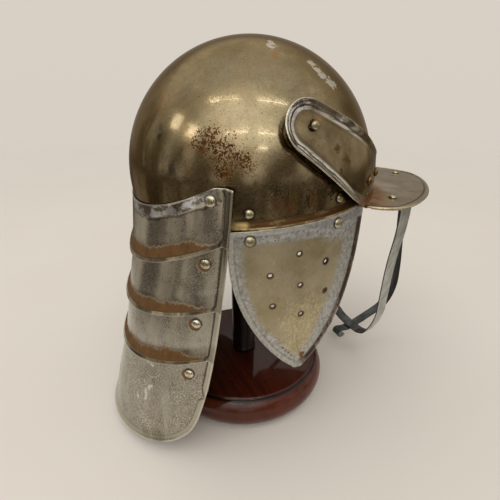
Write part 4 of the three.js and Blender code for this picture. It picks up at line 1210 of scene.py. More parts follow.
def stripTree():
    net, given, out = newTree("bent strip",
                              [("Width", "Float", 0.012), ("Thickness", "Float", 0.0012),
                               ("Corner", "Float", 0.0003), ("Finish", "Material", None)])
    curve = net.made("GeometryNodeMeshToCurve", {"Mesh": given["Geometry"]})
    curve = net.made("GeometryNodeSetCurveNormal",
                     {"Curve": curve, "Normal": named(net, "widthWay", "FLOAT_VECTOR")},
                     mode="FREE")
    shape = net.made("GeometryNodeCurvePrimitiveQuadrilateral",
                     {"Width": given["Width"], "Height": given["Thickness"]}, mode="RECTANGLE")
    fillet = net.add("GeometryNodeFilletCurve",
                     {"Curve": shape, "Radius": given["Corner"], "Count": 3}, mode="POLY")
    shape = fillet.outputs[0]
    place = net.made("GeometryNodeInputPosition")
    parts = net.add("ShaderNodeSeparateXYZ", {0: place}).outputs
    face = net.math("DIVIDE", parts[1], given["Thickness"])
    across = net.math("DIVIDE", parts[0], given["Width"])
    for label, value in (("faceSide", face), ("acrossStrip", across)):
        shape = net.made("GeometryNodeStoreNamedAttribute",
                         {"Geometry": shape, "Name": label, "Value": value}, data_type="FLOAT",
                         domain="POINT")
    strip = net.made("GeometryNodeCurveToMesh",
                     {"Curve": curve, "Profile Curve": shape, "Fill Caps": True})
    strip = net.made("GeometryNodeSetShadeSmooth", {"Geometry": strip})
    strip = net.made("GeometryNodeRealizeInstances", {0: strip})
    return closeTree(net, given, out, strip)


def holeTree():
    net, given, out = newTree("punched holes",
                              [("Holes", "Object", None), ("Radius", "Float", 0.0016),
                               ("Depth", "Float", 0.02), ("Finish", "Material", None)])
    marks = net.add("GeometryNodeObjectInfo", {"Object": given["Holes"]},
                    transform_space="ORIGINAL").outputs["Geometry"]
    punch = net.add("GeometryNodeMeshCylinder",
                    {"Vertices": 28, "Radius": given["Radius"],
                     "Depth": given["Depth"]}).outputs["Mesh"]
    turn = net.made("FunctionNodeAlignRotationToVector",
                    {"Vector": named(net, "way", "FLOAT_VECTOR")}, axis="Z")
    cuts = net.made("GeometryNodeInstanceOnPoints",
                    {"Points": marks, "Instance": punch, "Rotation": turn})
    cuts = net.made("GeometryNodeRealizeInstances", {0: cuts})
    cutter = net.add("GeometryNodeMeshBoolean", operation="DIFFERENCE", solver="EXACT")
    net.feed(cutter.inputs[0], given["Geometry"])
    net.tree.links.new(cuts, cutter.inputs[1])
    plate = net.made("GeometryNodeRealizeInstances", {0: cutter.outputs[0]})
    return closeTree(net, given, out, plate)


def pointsObject(name, places, vectors, values=None, linked=False):
    mesh = bpy.data.meshes.new(name)
    edges = [(n, n + 1) for n in range(len(places) - 1)] if linked else []
    mesh.from_pydata(np.asarray(places).tolist(), edges, [])
    for label, data in vectors.items():
        layer = mesh.attributes.new(label, "FLOAT_VECTOR", "POINT")
        layer.data.foreach_set("vector", np.asarray(data, np.float32).ravel())
    for label, data in (values or {}).items():
        layer = mesh.attributes.new(label, "FLOAT", "POINT")
        layer.data.foreach_set("value", np.asarray(data, np.float32))
    piece = bpy.data.objects.new(name, mesh)
    bpy.context.scene.collection.objects.link(piece)
    return piece


# Finishes
def visorBase(net, where, light, dark):
    broad = net.noise(where, 22.0, 5.0, 0.62, 0.3)
    fine = net.noise(where, 650.0, 4.0, 0.7)
    net.tone = net.mix(net.fade(broad, 0.34, 0.66), light, dark)
    net.lay((70, 58, 36), net.fade(fine, 0.38, 0.72, 0.0, 0.25))
    stray = net.specks(460.0, 0.17, 0.04)
    blots = net.noise(where, 90.0, 7.0, 0.74)
    net.lay((88, 68, 40), net.fade(blots, 0.5, 0.66, 0.0, 0.6))
    return broad, fine, stray


def browFinish():
    net = finishNet("browned nickel brow plate")
    where = net.where
    broad, fine, stray = visorBase(net, where, brow["light"], brow["dark"])
    edge, above, bearing = net.value("edge"), net.value("above"), net.value("bearing")
    rustColor = net.rust(200.0)
    flecks = net.spots([(-x, y, z, r) for x, y, z, r in brow["rust"]], 3.6, 420.0, 0.3, True)
    net.lay(rustColor, flecks, 0.75)
    ochre = net.spots(brow["ochre"], 1.6, 160.0, 0.3)
    net.lay((176, 132, 74), ochre, 0.55)
    dots = net.spots(brow["dots"], 1.2, 400.0, 0.5)
    net.lay((44, 36, 26), dots)
    # orange-brown where the plate comes down to the peak, streaked under the rivets
    drift = net.noise(net.stretch(where, (1, 1, 0.35)), 120.0, 5.0, 0.62)
    low = net.plus(above, net.pull(drift, 16.0))
    front = net.fade(bearing, 78.0, 66.0)
    foot = net.times(net.fade(low, 13.0, 5.0), front)
    net.lay(rustColor, foot, 0.85)
    ring = net.rings(rivetSeats("brow"), 3.5, 6.8, 3.2)
    net.lay((80, 48, 24), ring, 0.8)
    pinRing = net.rings(rivetSeats("pins"), 4.4, 7.4, 2.0)
    net.lay((74, 66, 50), pinRing, 0.4)
    # turned rim: bright where it is rubbed, dark in its hollow, with painted dark reflection lines
    side = net.fade(bearing, 58.0, 74.0)
    # the upper half of the rim dulls sooner than the lower
    upper = net.fade(above, 62.0, 84.0)
    side = net.times(side, net.minus(1.0, net.times(upper, net.fade(bearing, 92.0, 80.0))))
    band = net.times(net.fade(edge, 8.2, 6.4), side)
    mottle = net.fade(net.noise(where, 95.0, 4.0, 0.6), 0.44, 0.66)
    rimTone = net.mix(mottle, (224, 220, 210), (196, 188, 170))
    net.lay(rimTone, band, 0.92)
    # two painted dark reflection lines along the polished rim, strongest on the ear
    wander = net.plus(edge, net.pull(net.noise(where, 75.0, 3.0, 0.6), 3.4))
    darkReflectionA = net.stripe(wander, 3.4, 4.2, 4.8, 5.6)
    darkReflectionB = net.stripe(wander, 1.1, 1.5, 1.9, 2.3)
    lines = net.times(net.most(darkReflectionA, net.times(darkReflectionB, 0.8)), band)
    lines = net.times(lines, net.fade(bearing, 72.0, 84.0, 0.45, 1.0))
    net.lay((38, 32, 24), lines)
    hollow = net.times(net.stripe(edge, 6.6, 7.6, 8.4, 10.6), side)
    net.lay((92, 76, 48), hollow, 0.6)
    lowRim = net.times(band, net.fade(above, 62.0, 44.0))
    grit = net.specks(620.0, 0.5, 0.12)
    net.lay((120, 118, 112), net.times(lowRim, grit), 0.5)
    frontLip = net.times(net.fade(edge, 3.4, 1.0), net.minus(1.0, side))
    net.lay((178, 162, 128), frontLip, 0.6)
    net.lay(rustColor, stray, 0.8)
    net.lay(net.mix(net.fade(drift, 0.4, 0.6), (150, 98, 52), (84, 52, 26)), foot, 0.75)
    matte = net.most(net.times(foot, 0.8), stray, flecks, dots, net.times(ring, 0.7))
    net.give("Metallic", net.fade(matte, 0.0, 1.0, 1.0, 0.3))
    gloss = net.fade(broad, 0.3, 0.7, 0.15, 0.25)
    polish = net.times(band, net.fade(above, 36.0, 56.0, 0.2, 1.0))
    gloss = net.times(gloss, net.fade(polish, 0.0, 1.0, 1.0, 0.1))
    gloss = net.plus(gloss, net.times(net.times(upper, net.fade(bearing, 90.0, 80.0)), 0.2))
    gloss = net.plus(gloss, net.times(matte, 0.4), clamp=True)
    net.give("Roughness", gloss)
    net.give("Coat Weight", net.fade(matte, 0.0, 0.6, 0.7, 0.0))
    net.give("Coat Roughness", 0.05)
    net.give("Specular Tint", (206, 184, 142))
    wobble = net.times(net.noise(where, 120.0, 2.0, 0.5, 0.6), net.fade(bearing, 70.0, 88.0))
    hair = net.hair((0.3, 0.3, 1.0), 260.0, 0.011)
    return net.done([(net.noise(where, 24.0, 2.0, 0.4), 0.3, 0.0012),
                     (net.times(wobble, band), 0.6, 0.0012), (matte, 0.4, 0.0002),
                     (hair, -0.35, 0.0001), (fine, 0.05, 0.0001)])


def peakFinish():
    net = finishNet("browned nickel peak")
    where = net.where
    broad, fine, stray = visorBase(net, where, peak["light"], peak["dark"])
    edge, fromRoot = net.value("edge"), net.value("fromRoot")
    rustColor = net.rust(140.0)
    blotch = net.noise(where, 60.0, 5.0, 0.66)
    net.lay((120, 80, 44), net.fade(blotch, 0.5, 0.68, 0.0, 0.5))
    smear = net.spots(peak["smear"], 1.4, 50.0, 0.1)
    net.lay((214, 204, 184), smear, 0.75)
    foot = net.times(net.fade(net.plus(fromRoot, net.pull(blotch, 34.0)), 24.0, 4.0), 0.75)
    net.lay(net.mix(net.fade(blotch, 0.4, 0.6), (148, 100, 56), (92, 60, 32)), foot)
    groove = net.stripe(edge, 3.4, 4.6, 5.2, 6.6)
    net.lay((52, 40, 24), groove, 0.75)
    roll = net.times(net.fade(edge, 3.9, 2.4),
                     net.fade(net.noise(where, 80.0, 5.0, 0.65), 0.28, 0.5))
    net.lay((204, 190, 156), roll, 0.85)
    ring = net.rings(rivetSeats("peak"), 3.4, 5.6, 2.2)
    net.lay((50, 36, 22), ring, 0.85)
    net.lay(rustColor, stray)
    matte = net.most(foot, stray, net.times(ring, 0.7), net.times(groove, 0.6))
    net.give("Metallic", net.fade(matte, 0.0, 1.0, 1.0, 0.3))
    gloss = net.fade(broad, 0.3, 0.7, 0.26, 0.38)
    gloss = net.minus(gloss, net.times(roll, 0.14))
    net.give("Coat Weight", net.fade(matte, 0.0, 0.6, 0.5, 0.0))
    net.give("Coat Roughness", 0.06)
    net.give("Roughness", net.plus(gloss, net.times(matte, 0.35), clamp=True))
    return net.done([(net.noise(where, 26.0, 2.0, 0.4), 0.3, 0.0012), (blotch, 0.2, 0.0003),
                     (matte, 0.35, 0.0002), (fine, 0.14, 0.0002)])


def tailFinish(number):
    net = finishNet("pitted steel lame %d" % (number + 1))
    where = net.where
    edge, ridge, fall, fromSide = (net.value(v) for v in ("edge", "ridge", "fall", "fromSide"))
    height = net.add("ShaderNodeSeparateXYZ", {0: where}).outputs[2]
    broad = net.noise(where, 16.0, 5.0, 0.62)
    cloud = net.noise(where, 60.0, 5.0, 0.66)
    fine = net.noise(where, 900.0, 4.0, 0.7)
    light, dark = tail["tones"][number]
    net.tone = net.mix(net.fade(broad, 0.35, 0.65), light, dark)
    net.lay((138, 126, 100), net.fade(cloud, 0.48, 0.68, 0.0, 0.4))
    net.lay((140, 134, 118), net.fade(height, 0.12, 0.07, 0.0, 0.35))
    # rough grey grain, densest on the lower lames and beside the flange
    worn = net.plus(net.fade(height, 0.19, 0.07, 0.44, 0.46), net.fade(broad, 0.4, 0.64, 0.0, 0.18))
    grain = net.specks(1000.0, worn, 0.12)
    pits = net.specks(640.0, net.fade(cloud, 0.35, 0.7, 0.2, 0.42), 0.07,
                      net.stretch(where, (1, 1, 0.7), (0.1, 0.2, 0.1)))
    net.lay((218, 214, 204), grain, 0.8)
    net.lay((92, 80, 58), pits, 0.8)
    tall = net.stretch(where, (1, 1, 0.1))
    streak = net.fade(net.noise(tall, 60.0, 4.0, 0.6), 0.5, 0.68)
    net.lay((212, 208, 196), streak, 0.3)
    polished = []
    if number == 0:
        # the top lip of the first lame: rubbed, with painted mirror reflections in swirls of light
        # and dark
        drift = net.noise(net.stretch(where, (1, 1, 0.7)), 90.0, 5.0, 0.6)
        top = net.plus(fall, net.pull(drift, 10.0))
        turned = net.plus(top, net.fade(fromSide, 34.0, 12.0, 0.0, 6.0))
        rubAndReflection = net.times(net.fade(turned, 10.0, 8.2), net.fade(fromSide, 10.0, 16.0))
        mirror = net.noise(net.stretch(where, (1, 1, 1.6)), 75.0, 4.0, 0.6, 0.5)
        lipReflectionTone = net.mix(net.fade(mirror, 0.46, 0.56), (212, 212, 214), (104, 92, 70))
        net.lay(lipReflectionTone, rubAndReflection, 0.85)
        line = net.stripe(top, 9.0, 10.2, 11.0, 12.2)
        net.lay((86, 66, 40), net.times(line, net.fade(fromSide, 9.0, 14.0)), 0.6)
        polished.append(rubAndReflection)
        bits = net.spots(tail["bits"], 3.0, 300.0, 0.4)
        net.lay((120, 70, 30), bits)
    band = None
    if number < 3:
        # rust above each ridge, ragged upwards in short strokes, thinner towards the flange
        drift = net.noise(net.stretch(where, (1, 1, 0.22)), 300.0, 5.0, 0.72)
        slow = net.noise(where, 30.0, 3.0, 0.5)
        high = net.times(net.fade(fromSide, 5.0, 40.0, 0.3, 1.0),
                         net.fade(slow, 0.3, 0.7, 11.0, 14.0))
        over = net.minus(net.plus(ridge, net.pull(drift, 10.0)), high)
        band = net.times(net.fade(over, 1.3, -1.5), net.fade(ridge, 2.8, 3.6))
        band = net.times(band, net.fade(fromSide, 6.0, 8.5))
        rust = net.rust(110.0)
        stroke = net.fade(net.noise(net.stretch(where, (1, 1, 0.2)), 420.0, 3.0, 0.6), 0.4, 0.7)
        rust = net.mix(0.28, rust, (132, 94, 50))
        rust = net.mix(net.times(stroke, 0.5), rust, (114, 80, 38))
        halo = net.times(net.fade(over, 6.0, 0.0, 0.0, 0.4), net.fade(fromSide, 6.0, 10.0))
        net.lay((140, 112, 72), halo)
        net.lay(rust, band, 0.96)
        inward = net.fade(fromSide, 5.2, 8.0)
        crest = net.times(net.fade(ridge, 3.3, 2.4), inward)
        mottle = net.fade(net.noise(where, 160.0, 4.0, 0.6), 0.4, 0.6)
        crestTone = net.mix(mottle, (196, 184, 152), (158, 142, 108))
        net.lay(crestTone, crest, 0.8)
        under = net.stripe(ridge, 2.7, 3.2, 3.3, 3.9)
        net.lay((60, 44, 24), net.times(under, inward), 0.7)
        net.lay((70, 58, 40), net.fade(ridge, 0.5, -0.4))
        polished.append(crest)
    # dark line along the crease of the flange; the flange is darker above and paler below
    crease = net.stripe(fromSide, 4.2, 5.2, 5.8, 7.0)
    crease = net.times(crease, net.fade(height, 0.04, 0.1, 0.2, 0.8))
    net.lay((64, 54, 38), crease)
    flange = net.fade(fromSide, 5.2, 4.4)
    flangeTone = net.mix(net.fade(height, 0.19, 0.225), (188, 182, 166), (126, 116, 92))
    net.lay(flangeTone, flange, 0.7)
    # rubbed wear along the edges
    rubAndReflection = net.group(edgeWear,
                    {"Vector": where, "Edge": edge, "Width": 1.5, "Core": 0.3, "Ragged": 1.6,
                     "Scale": 160.0})
    net.lay((226, 222, 210), rubAndReflection, 0.6)
    ring = net.rings(rivetSeats("tail"), 4.4, 5.8, 1.2)
    net.lay((60, 44, 26), ring, 0.75)
    lows = [(p[0] - 0.0018, p[1] + 0.0012, p[2] - 0.0022) for p in rivetSeats("tail")[1:]]
    crescent = net.rings(lows, 4.6, 6.2, 1.6)
    net.lay((112, 72, 32), crescent, 0.9)
    scar = None
    if number == 3:
        marks = [(x, y, z, r * tail["scarSize"]) for x, y, z, r in tail["scars"]]
        scar = net.spots(marks, 3.2, 330.0, 0.4)
        curve = net.circle(net.away((-0.0584, 0.125, 0.094)), 19.0, 0.8)
        curve = net.times(curve, net.spots(tail["arc"], 1.2, 160.0, 0.4))
        scar = net.most(scar, net.times(curve, 0.5))
        net.lay((236, 232, 222), scar, 0.8)
        foot = net.spots(tail["footStain"], 1.4, 70.0, 0.2)
        net.lay((100, 90, 70), foot, 0.45)
    if number == 0:
        # two rubbed arcs under the first rivet
        away = net.away((-0.0908, 0.0650, 0.2412))
        arcs = net.most(net.circle(away, 3.8, 0.7), net.circle(away, 5.6, 0.6))
        arcs = net.times(arcs, net.fade(height, 0.2395, 0.2375))
        net.lay((232, 228, 216), arcs, 0.75)
    matte = band if band is not None else net.times(pits, 0.3)
    matte = net.most(matte, net.times(crescent, 0.8), net.times(ring, 0.6))
    net.give("Metallic", net.fade(matte, 0.0, 1.0, 1.0, 0.1))
    gloss = net.plus(net.fade(cloud, 0.3, 0.7, 0.1, 0.19), net.times(grain, 0.14))
    gloss = net.plus(gloss, net.times(pits, 0.1))
    for smooth in polished:
        gloss = net.minus(gloss, net.times(smooth, 0.08), clamp=True)
    gloss = net.plus(gloss, net.times(matte, 0.5), clamp=True)
    net.give("Roughness", gloss)
    wave = net.noise(net.stretch(where, (1, 1, 0.14)), 34.0, 2.0, 0.5)
    layers = [(wave, 0.45, 0.0018), (cloud, 0.12, 0.0003), (pits, -0.3, 0.00012),
              (grain, 0.15, 0.00006), (matte, 0.6, 0.0004), (fine, 0.1, 0.0001)]
    if scar is not None:
        layers.append((scar, -0.5, 0.0003))
    if number == 0:
        # the lip leans outwards, so that it catches the light from above
        lean = net.most(net.times(fall, 0.1, clamp=True), net.fade(fromSide, 30.0, 9.0))
        layers.insert(0, (lean, 1.0, 0.0045))
    return net.done(layers)


def cheekFinish():
    net = finishNet("worn cheek plate")
    where = net.where
    edge, fall, forward = (net.value(v) for v in ("edge", "fall", "forward"))
    broad = net.noise(where, 30.0, 5.0, 0.62)
    cloud = net.noise(where, 75.0, 5.0, 0.66)
    fine = net.noise(where, 900.0, 4.0, 0.7)
    net.tone = net.mix(net.fade(broad, 0.36, 0.64), cheek["light"], cheek["dark"])
    net.lay((140, 124, 92), net.fade(cloud, 0.46, 0.7, 0.0, 0.4))
    # pale yellow flecks, thickest low in the middle
    low = net.times(net.fade(fall, 30.0, 90.0), net.fade(net.math("ABSOLUTE", forward), 34.0, 8.0))
    flake = net.stretch(where, (1, 1, 0.6))
    small = net.specks(620.0, net.fade(low, 0.0, 1.0, 0.26, 0.56), 0.07, flake)
    large = net.specks(300.0, net.fade(low, 0.0, 1.0, 0.1, 0.46), 0.06, flake)
    flakes = net.most(net.times(small, 0.6), net.times(large, 0.75))
    net.lay((216, 202, 158), flakes)
    # pale scoured border, widest towards the front and fading inwards
    slow = net.pull(net.noise(where, 26.0, 3.0, 0.5), 12.0)
    quick = net.pull(net.noise(where, 150.0, 5.0, 0.66), 11.0)
    wide = net.plus(9.0, net.fade(forward, -10.0, 35.0, 0.0, 12.0))
    over = net.minus(net.plus(edge, net.plus(slow, quick)), wide)
    border = net.fade(over, 4.5, -4.0)
    coarse = net.noise(where, 330.0, 5.0, 0.72)
    scoured = net.mix(net.fade(coarse, 0.36, 0.66), (212, 214, 216), (128, 128, 124))
    scoured = net.mix(net.fade(fine, 0.42, 0.62, 0.0, 0.6), scoured, (186, 184, 178))
    net.lay(scoured, border, 0.85)
    topBand = net.fade(net.plus(fall, net.times(quick, 0.3)), 12.5, 9.5)
    net.lay(scoured, topBand, 0.7)
    topShade = net.fade(net.plus(fall, net.times(quick, 0.15)), 5.0, 1.0)
    net.lay((128, 128, 128), topShade, 0.45)
    flecks = net.specks(560.0, 0.26, 0.05)
    net.lay((112, 100, 74), flecks, 0.5)
    rustColor = net.rust(200.0)
    stray = net.specks(300.0, 0.08, 0.03)
    # turned rim: a painted highlight at the back, rusty in front
    rim = net.fade(edge, 4.2, 3.2)
    frontSide = net.fade(forward, -14.0, 6.0)
    rimGrain = net.fade(net.noise(net.stretch(where, (1, 1, 0.4)), 130.0, 5.0, 0.62), 0.36, 0.56)
    rusty = net.times(net.times(rim, frontSide), net.fade(rimGrain, 0.0, 1.0, 0.7, 0.97))
    rusty = net.times(rusty, net.fade(fall, 2.0, 5.0))
    net.lay(net.mix(rimGrain, (86, 60, 42), (58, 40, 28)), rusty)
    # painted highlight along the back of the rim
    rimHighlight = net.times(net.times(rim, net.fade(edge, 0.4, 1.2)), net.minus(1.0, frontSide))
    net.lay((218, 214, 202), rimHighlight, 0.35)
    foldLine = net.stripe(edge, 3.1, 4.0, 4.3, 5.4)
    foldLine = net.times(foldLine, net.fade(fall, 2.0, 6.0))
    net.lay((96, 88, 70), foldLine, 0.28)
    lip = net.times(net.fade(edge, 1.0, 0.2), net.fade(rimGrain, 0.0, 1.0, 0.7, 0.2))
    net.lay((206, 196, 172), lip)
    drop = net.spots(cheek["drop"], 0.6, 200.0, 0.6, True)
    net.lay((112, 78, 44), drop, 0.9)
    streak = net.spots(cheek["streak"], 1.0, 240.0, 0.4)
    net.lay((92, 66, 40), streak, 0.75)
    marks, _ = cheekHoles(-1)
    holeRing = net.rings(marks, 2.4, 3.6, 0.8)
    net.lay((78, 54, 30), holeRing, 0.92)
    dark = net.rings([(-marks[2][0], marks[2][1], marks[2][2])], 2.2, 4.6, 2.0, False)
    net.lay((46, 30, 18), dark, 0.9)
    ring = net.rings(rivetSeats("cheek"), 4.0, 5.4, 1.0)
    net.lay((54, 48, 36), ring, 0.85)
    net.lay(rustColor, stray)
    matte = net.most(net.times(rusty, 0.8), stray, drop, streak, holeRing)
    net.give("Metallic", net.fade(net.most(matte, net.times(border, 0.4)), 0.0, 1.0, 0.62, 0.15))
    gloss = net.plus(net.fade(cloud, 0.3, 0.7, 0.26, 0.38), net.times(border, 0.06))
    gloss = net.plus(gloss, net.times(matte, 0.35), clamp=True)
    net.give("Roughness", gloss)
    return net.done([(net.noise(where, 22.0, 2.0, 0.4), 0.3, 0.0012), (cloud, 0.15, 0.0004),
                     (flakes, 0.25, 0.0001), (net.times(coarse, border), 0.3, 0.0002),
                     (matte, 0.4, 0.0002), (fine, 0.1, 0.0001)])


def stripFinish():
    net = finishNet("grey guard strip")
    where = net.where
    face, across = net.value("faceSide"), net.value("acrossStrip")
    tall = net.stretch(where, (1, 1, 0.12))
    streak = net.noise(tall, 150.0, 5.0, 0.65)
    cloud = net.noise(where, 60.0, 5.0, 0.62)
    fine = net.noise(where, 700.0, 4.0, 0.7)
    # one steel on both faces; the light outer face and the dark inner face are painted reflections
    outer = net.mix(net.fade(streak, 0.38, 0.64), *guard["outer"])
    inner = net.mix(net.fade(streak, 0.38, 0.64), *guard["inner"])
    net.tone = net.mix(net.fade(face, -0.3, 0.3), inner, outer)
    net.lay((108, 106, 96), net.fade(cloud, 0.5, 0.7, 0.0, 0.45))
    side = net.math("ABSOLUTE", across)
    net.lay((34, 34, 32), net.fade(side, 0.455, 0.48, 0.0, 0.85))
    stray = net.specks(320.0, 0.1, 0.04)
    net.lay((86, 66, 44), stray, 0.7)
    net.give("Metallic", net.fade(stray, 0.0, 1.0, 0.85, 0.3))
    net.give("Roughness",
             net.plus(net.fade(streak, 0.3, 0.7, 0.34, 0.5), net.fade(fine, 0.4, 0.7, 0.0, 0.08)))
    return net.done([(net.noise(where, 40.0, 2.0, 0.4), 0.3, 0.0008), (streak, 0.2, 0.0002),
                     (fine, 0.15, 0.0002)])


def rivetFinish(name, light, dark, foot, gloss):
    net = finishNet(name)
    where = net.where
    up = net.value("domeUp")
    cloud = net.noise(where, 180.0, 4.0, 0.6)
    fine = net.noise(where, 1100.0, 4.0, 0.7)
    net.tone = net.mix(net.fade(cloud, 0.36, 0.64), light, dark)
    ragged = net.plus(up, net.pull(cloud, 0.4))
    grime = net.fade(ragged, 0.42, 0.1)
    net.lay(foot, grime, 0.85)
    flecks = net.specks(800.0, 0.22, 0.06)
    net.lay(foot, flecks, 0.5)
    net.give("Metallic", net.fade(grime, 0.0, 1.0, 1.0, 0.5))
    net.give("Roughness",
             net.plus(net.fade(cloud, 0.3, 0.7, gloss, gloss + 0.12), net.times(grime, 0.3)))
    return net.done([(cloud, 0.3, 0.0003), (flecks, -0.3, 0.0001), (fine, 0.15, 0.0001)])


def leatherFinish():
    net = finishNet("dry black leather")
    where = net.where
    pores = net.cells(where, 900.0)
    cloud = net.noise(where, 90.0, 5.0, 0.6)
    net.tone = net.mix(net.fade(cloud, 0.35, 0.65), (34, 29, 26), (20, 17, 16))
    wear = net.fade(net.math("ABSOLUTE", net.value("acrossStrip")), 0.42, 0.5, 0.0, 0.6)
    net.lay((66, 56, 46), wear)
    net.give("Roughness", net.fade(cloud, 0.3, 0.7, 0.5, 0.72))
    return net.done([(cloud, 0.3, 0.0004), (pores, 0.4, 0.0002)])


def woodFinish(name, light, dark, coat, along, groove=None):
    net = finishNet(name)
    where = net.where
    lined = net.stretch(where, along)
    grain = net.noise(lined, 26.0, 6.0, 0.62, 1.2)
    finer = net.stretch(where, tuple(3 * v if v < 1 else v for v in along))
    pore = net.noise(finer, 420.0, 3.0, 0.6)
    net.tone = net.mix(net.fade(grain, 0.36, 0.64), light, dark)
    net.lay(tuple(v * 0.45 for v in dark), net.fade(pore, 0.56, 0.7, 0.0, 0.6))
    cloud = net.noise(where, 20.0, 4.0, 0.6)
    net.lay(tuple(v * 0.7 for v in dark), net.fade(cloud, 0.45, 0.7, 0.0, 0.4))
    if groove:
        out = net.times(net.vector("LENGTH", net.stretch(where, (1, 1, 0))), 1000.0)
        ring = net.times(net.fade(out, groove - 1.5, groove - 0.7),
                         net.fade(out, groove + 1.0, groove + 0.3))
        net.lay((112, 52, 27), net.fade(out, groove, groove + 3.0, 0.0, 0.3))
        net.lay((14, 8, 6), ring, 0.9)
    dust = net.specks(420.0, 0.1, 0.05)
    net.lay((190, 170, 150), dust, 0.12)
    net.give("Roughness", net.plus(net.fade(cloud, 0.3, 0.7, 0.26, 0.38), net.times(dust, 0.25)))
    net.give("Specular IOR Level", 0.05)
    net.give("Coat Weight", coat)
    net.give("Coat Roughness", 0.06)
    return net.done([(grain, 0.06, 0.0004), (pore, -0.12, 0.0001)])


def floorFinish():
    net = finishNet("pale table")
    where = net.where
    net.tone = net.mix(net.noise(where, 3.0, 3.0, 0.5), (237, 232, 226), (230, 224, 216))
    away = net.vector("LENGTH", where)
    seen = net.add("ShaderNodeLightPath").outputs["Is Camera Ray"]
    far = net.times(net.fade(away, 0.2, 0.55), net.minus(1.0, seen))
    aim = net.noise(net.vector("NORMALIZE", where), 3.4, 3.0, 0.6)
    farTone = net.mix(net.fade(aim, 0.42, 0.58), studio["tableFar"], studio["tableDark"])
    net.lay(farTone, far)
    net.give("Roughness", net.fade(net.noise(where, 40.0, 3.0, 0.5), 0.3, 0.7, 0.55, 0.7))
    # far out the table fades into the background
    clear = net.made("ShaderNodeBsdfTransparent")
    blend = net.add("ShaderNodeMixShader",
                    {0: net.fade(away, 0.7, 2.7), 1: net.shader.outputs[0], 2: clear})
    output = next(n for n in net.tree.nodes if n.type == "OUTPUT_MATERIAL")
    net.tree.links.new(blend.outputs[0], output.inputs[0])
    return net.done([(net.noise(where, 300.0, 4.0, 0.6), 0.05, 0.0003)])


# Making the pieces
def dress(piece, body, nodes):
    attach(piece, body)
    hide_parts(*nodes)


def makeBowl():
    verts, faces, values = bowlMesh()
    piece = makePiece("bowl", verts, faces, values, bowlFinish())
    dress(piece, "helmet_and_stand", ["skull"])


def makeVisor(punch):
    verts, faces, values = browMesh()
    piece = makePiece("browPlate", verts, faces, values)
    pins = rivetRows["pins"]
    marks = pointsObject("browMarks", [p[0] for p in pins], {"way": [p[1] for p in pins]})
    bakeTree(piece, punch,
             {"Holes": marks, "Radius": brow["hole"] / 1000, "Depth": 0.03, "Finish": browFinish()})
    bpy.data.objects.remove(marks)
    dress(piece, "visor", ["brow_plate"])
    verts, faces, values = peakMesh()
    piece = makePiece("peakPlate", verts, faces, values, peakFinish())
    dress(piece, "visor", ["peak"])


def makeCheeks(punch):
    finish = cheekFinish()
    for side, label in ((1, "right"), (-1, "left")):
        verts, faces, values = cheekMesh(side)
        piece = makePiece("cheekPlate" + label.capitalize(), verts, faces, values)
        places, ways = cheekHoles(side)
        marks = pointsObject("holeMarks", places, {"way": ways})
        bakeTree(piece, punch,
                 {"Holes": marks, "Radius": cheek["hole"] / 1000, "Depth": 0.02, "Finish": finish})
        bpy.data.objects.remove(marks)
        piece.data.set_sharp_from_angle(angle=math.radians(50))
        dress(piece, "helmet_and_stand", ["cheek_plate_" + label])


def makeTail():
    for number in range(4):
        verts, faces, values = lameMesh(number)
        piece = makePiece("tailLame%d" % (number + 1), verts, faces, values, tailFinish(number))
        dress(piece, "helmet_and_stand", ["neck_lame_%d" % (number + 1)])


def makeStrips(tree):
    finish = stripFinish()
    for name, route, node in (("sideGuard", sideRoute(), "side_guard_strip"),
                              ("centreGuard", centreRoute(), "centre_guard_strip")):
        ways = np.array([turnTilted(row[3:]) for row in route])
        piece = pointsObject(name, tilted(route[:, :3]), {"widthWay": ways}, linked=True)
        bakeTree(piece, tree,
                 {"Width": guard["width"] / 1000, "Thickness": guard["thick"] / 1000,
                  "Corner": 0.0003, "Finish": finish})
        piece.data.set_sharp_from_angle(angle=math.radians(40))
        dress(piece, "visor", [node])
    leather = leatherFinish()
    for side, label in ((1, "right"), (-1, "left")):
        for end, (deg, height) in cheek["rivets"].items():
            route = tabRoute(side * deg, height)
            piece = pointsObject("cheekTab%s%s" % (label.capitalize(), end.capitalize()),
                                 level(route[:, :3]), {"widthWay": route[:, 3:]}, linked=True)
            bakeTree(piece, tree,
                     {"Width": cheek["tabWidth"] / 1000, "Thickness": cheek["tabThick"] / 1000,
                      "Corner": 0.0006, "Finish": leather})
            piece.data.set_sharp_from_angle(angle=math.radians(50))
            dress(piece, "helmet_and_stand", ["cheek_tab_%s_%s" % (label, end)])


def makeRivets(tree):
    brass = rivetFinish("worn brass rivets", *rivet["brass"])
    silver = rivetFinish("bright steel rivets", *rivet["silver"])
    browned = rivetFinish("browned rivets", *rivet["browned"])
    sides = ("right", "left")
    bodies = [
        ("bowlRivets", "helmet_and_stand", "bowl", brass,
         ["skull_rivet_%s_%s" % (s, e) for s in sides for e in ("rear", "front")]),
        ("pivotHeads", "helmet_and_stand", "pins", brass, ["pivot_pin_right", "pivot_pin_left"]),
        ("cheekRivets", "helmet_and_stand", "cheek", brass,
         ["cheek_rivet_%s_%s" % (s, e) for s in sides for e in ("rear", "front")]),
        ("tailRivets", "helmet_and_stand", "tail", silver,
         ["tail_rivet_%s_%d" % (s, n) for s in sides for n in (1, 2, 3, 4)]),
        ("browRivets", "visor", "brow", browned,
         ["brow_rivet_%s_%d" % (s, n) for s in sides for n in (1, 2)]),
        ("peakRivets", "visor", "peak", brass,
         ["peak_rivet_right", "peak_rivet_left", "peak_rivet_centre"]),
    ]
    for seed, (name, body, part, finish, nodes) in enumerate(bodies):
        rows, more = rivetRows[part], rivet["shown"].get(part, 1.0)
        piece = pointsObject(name, [r[0] for r in rows], {"way": [r[1] for r in rows]},
                             {"wide": [r[2] * more for r in rows],
                              "tall": [r[3] * more**0.7 for r in rows]})
        bakeTree(piece, tree, {"Seed": seed + 3, "Finish": finish})
        dress(piece, body, nodes)


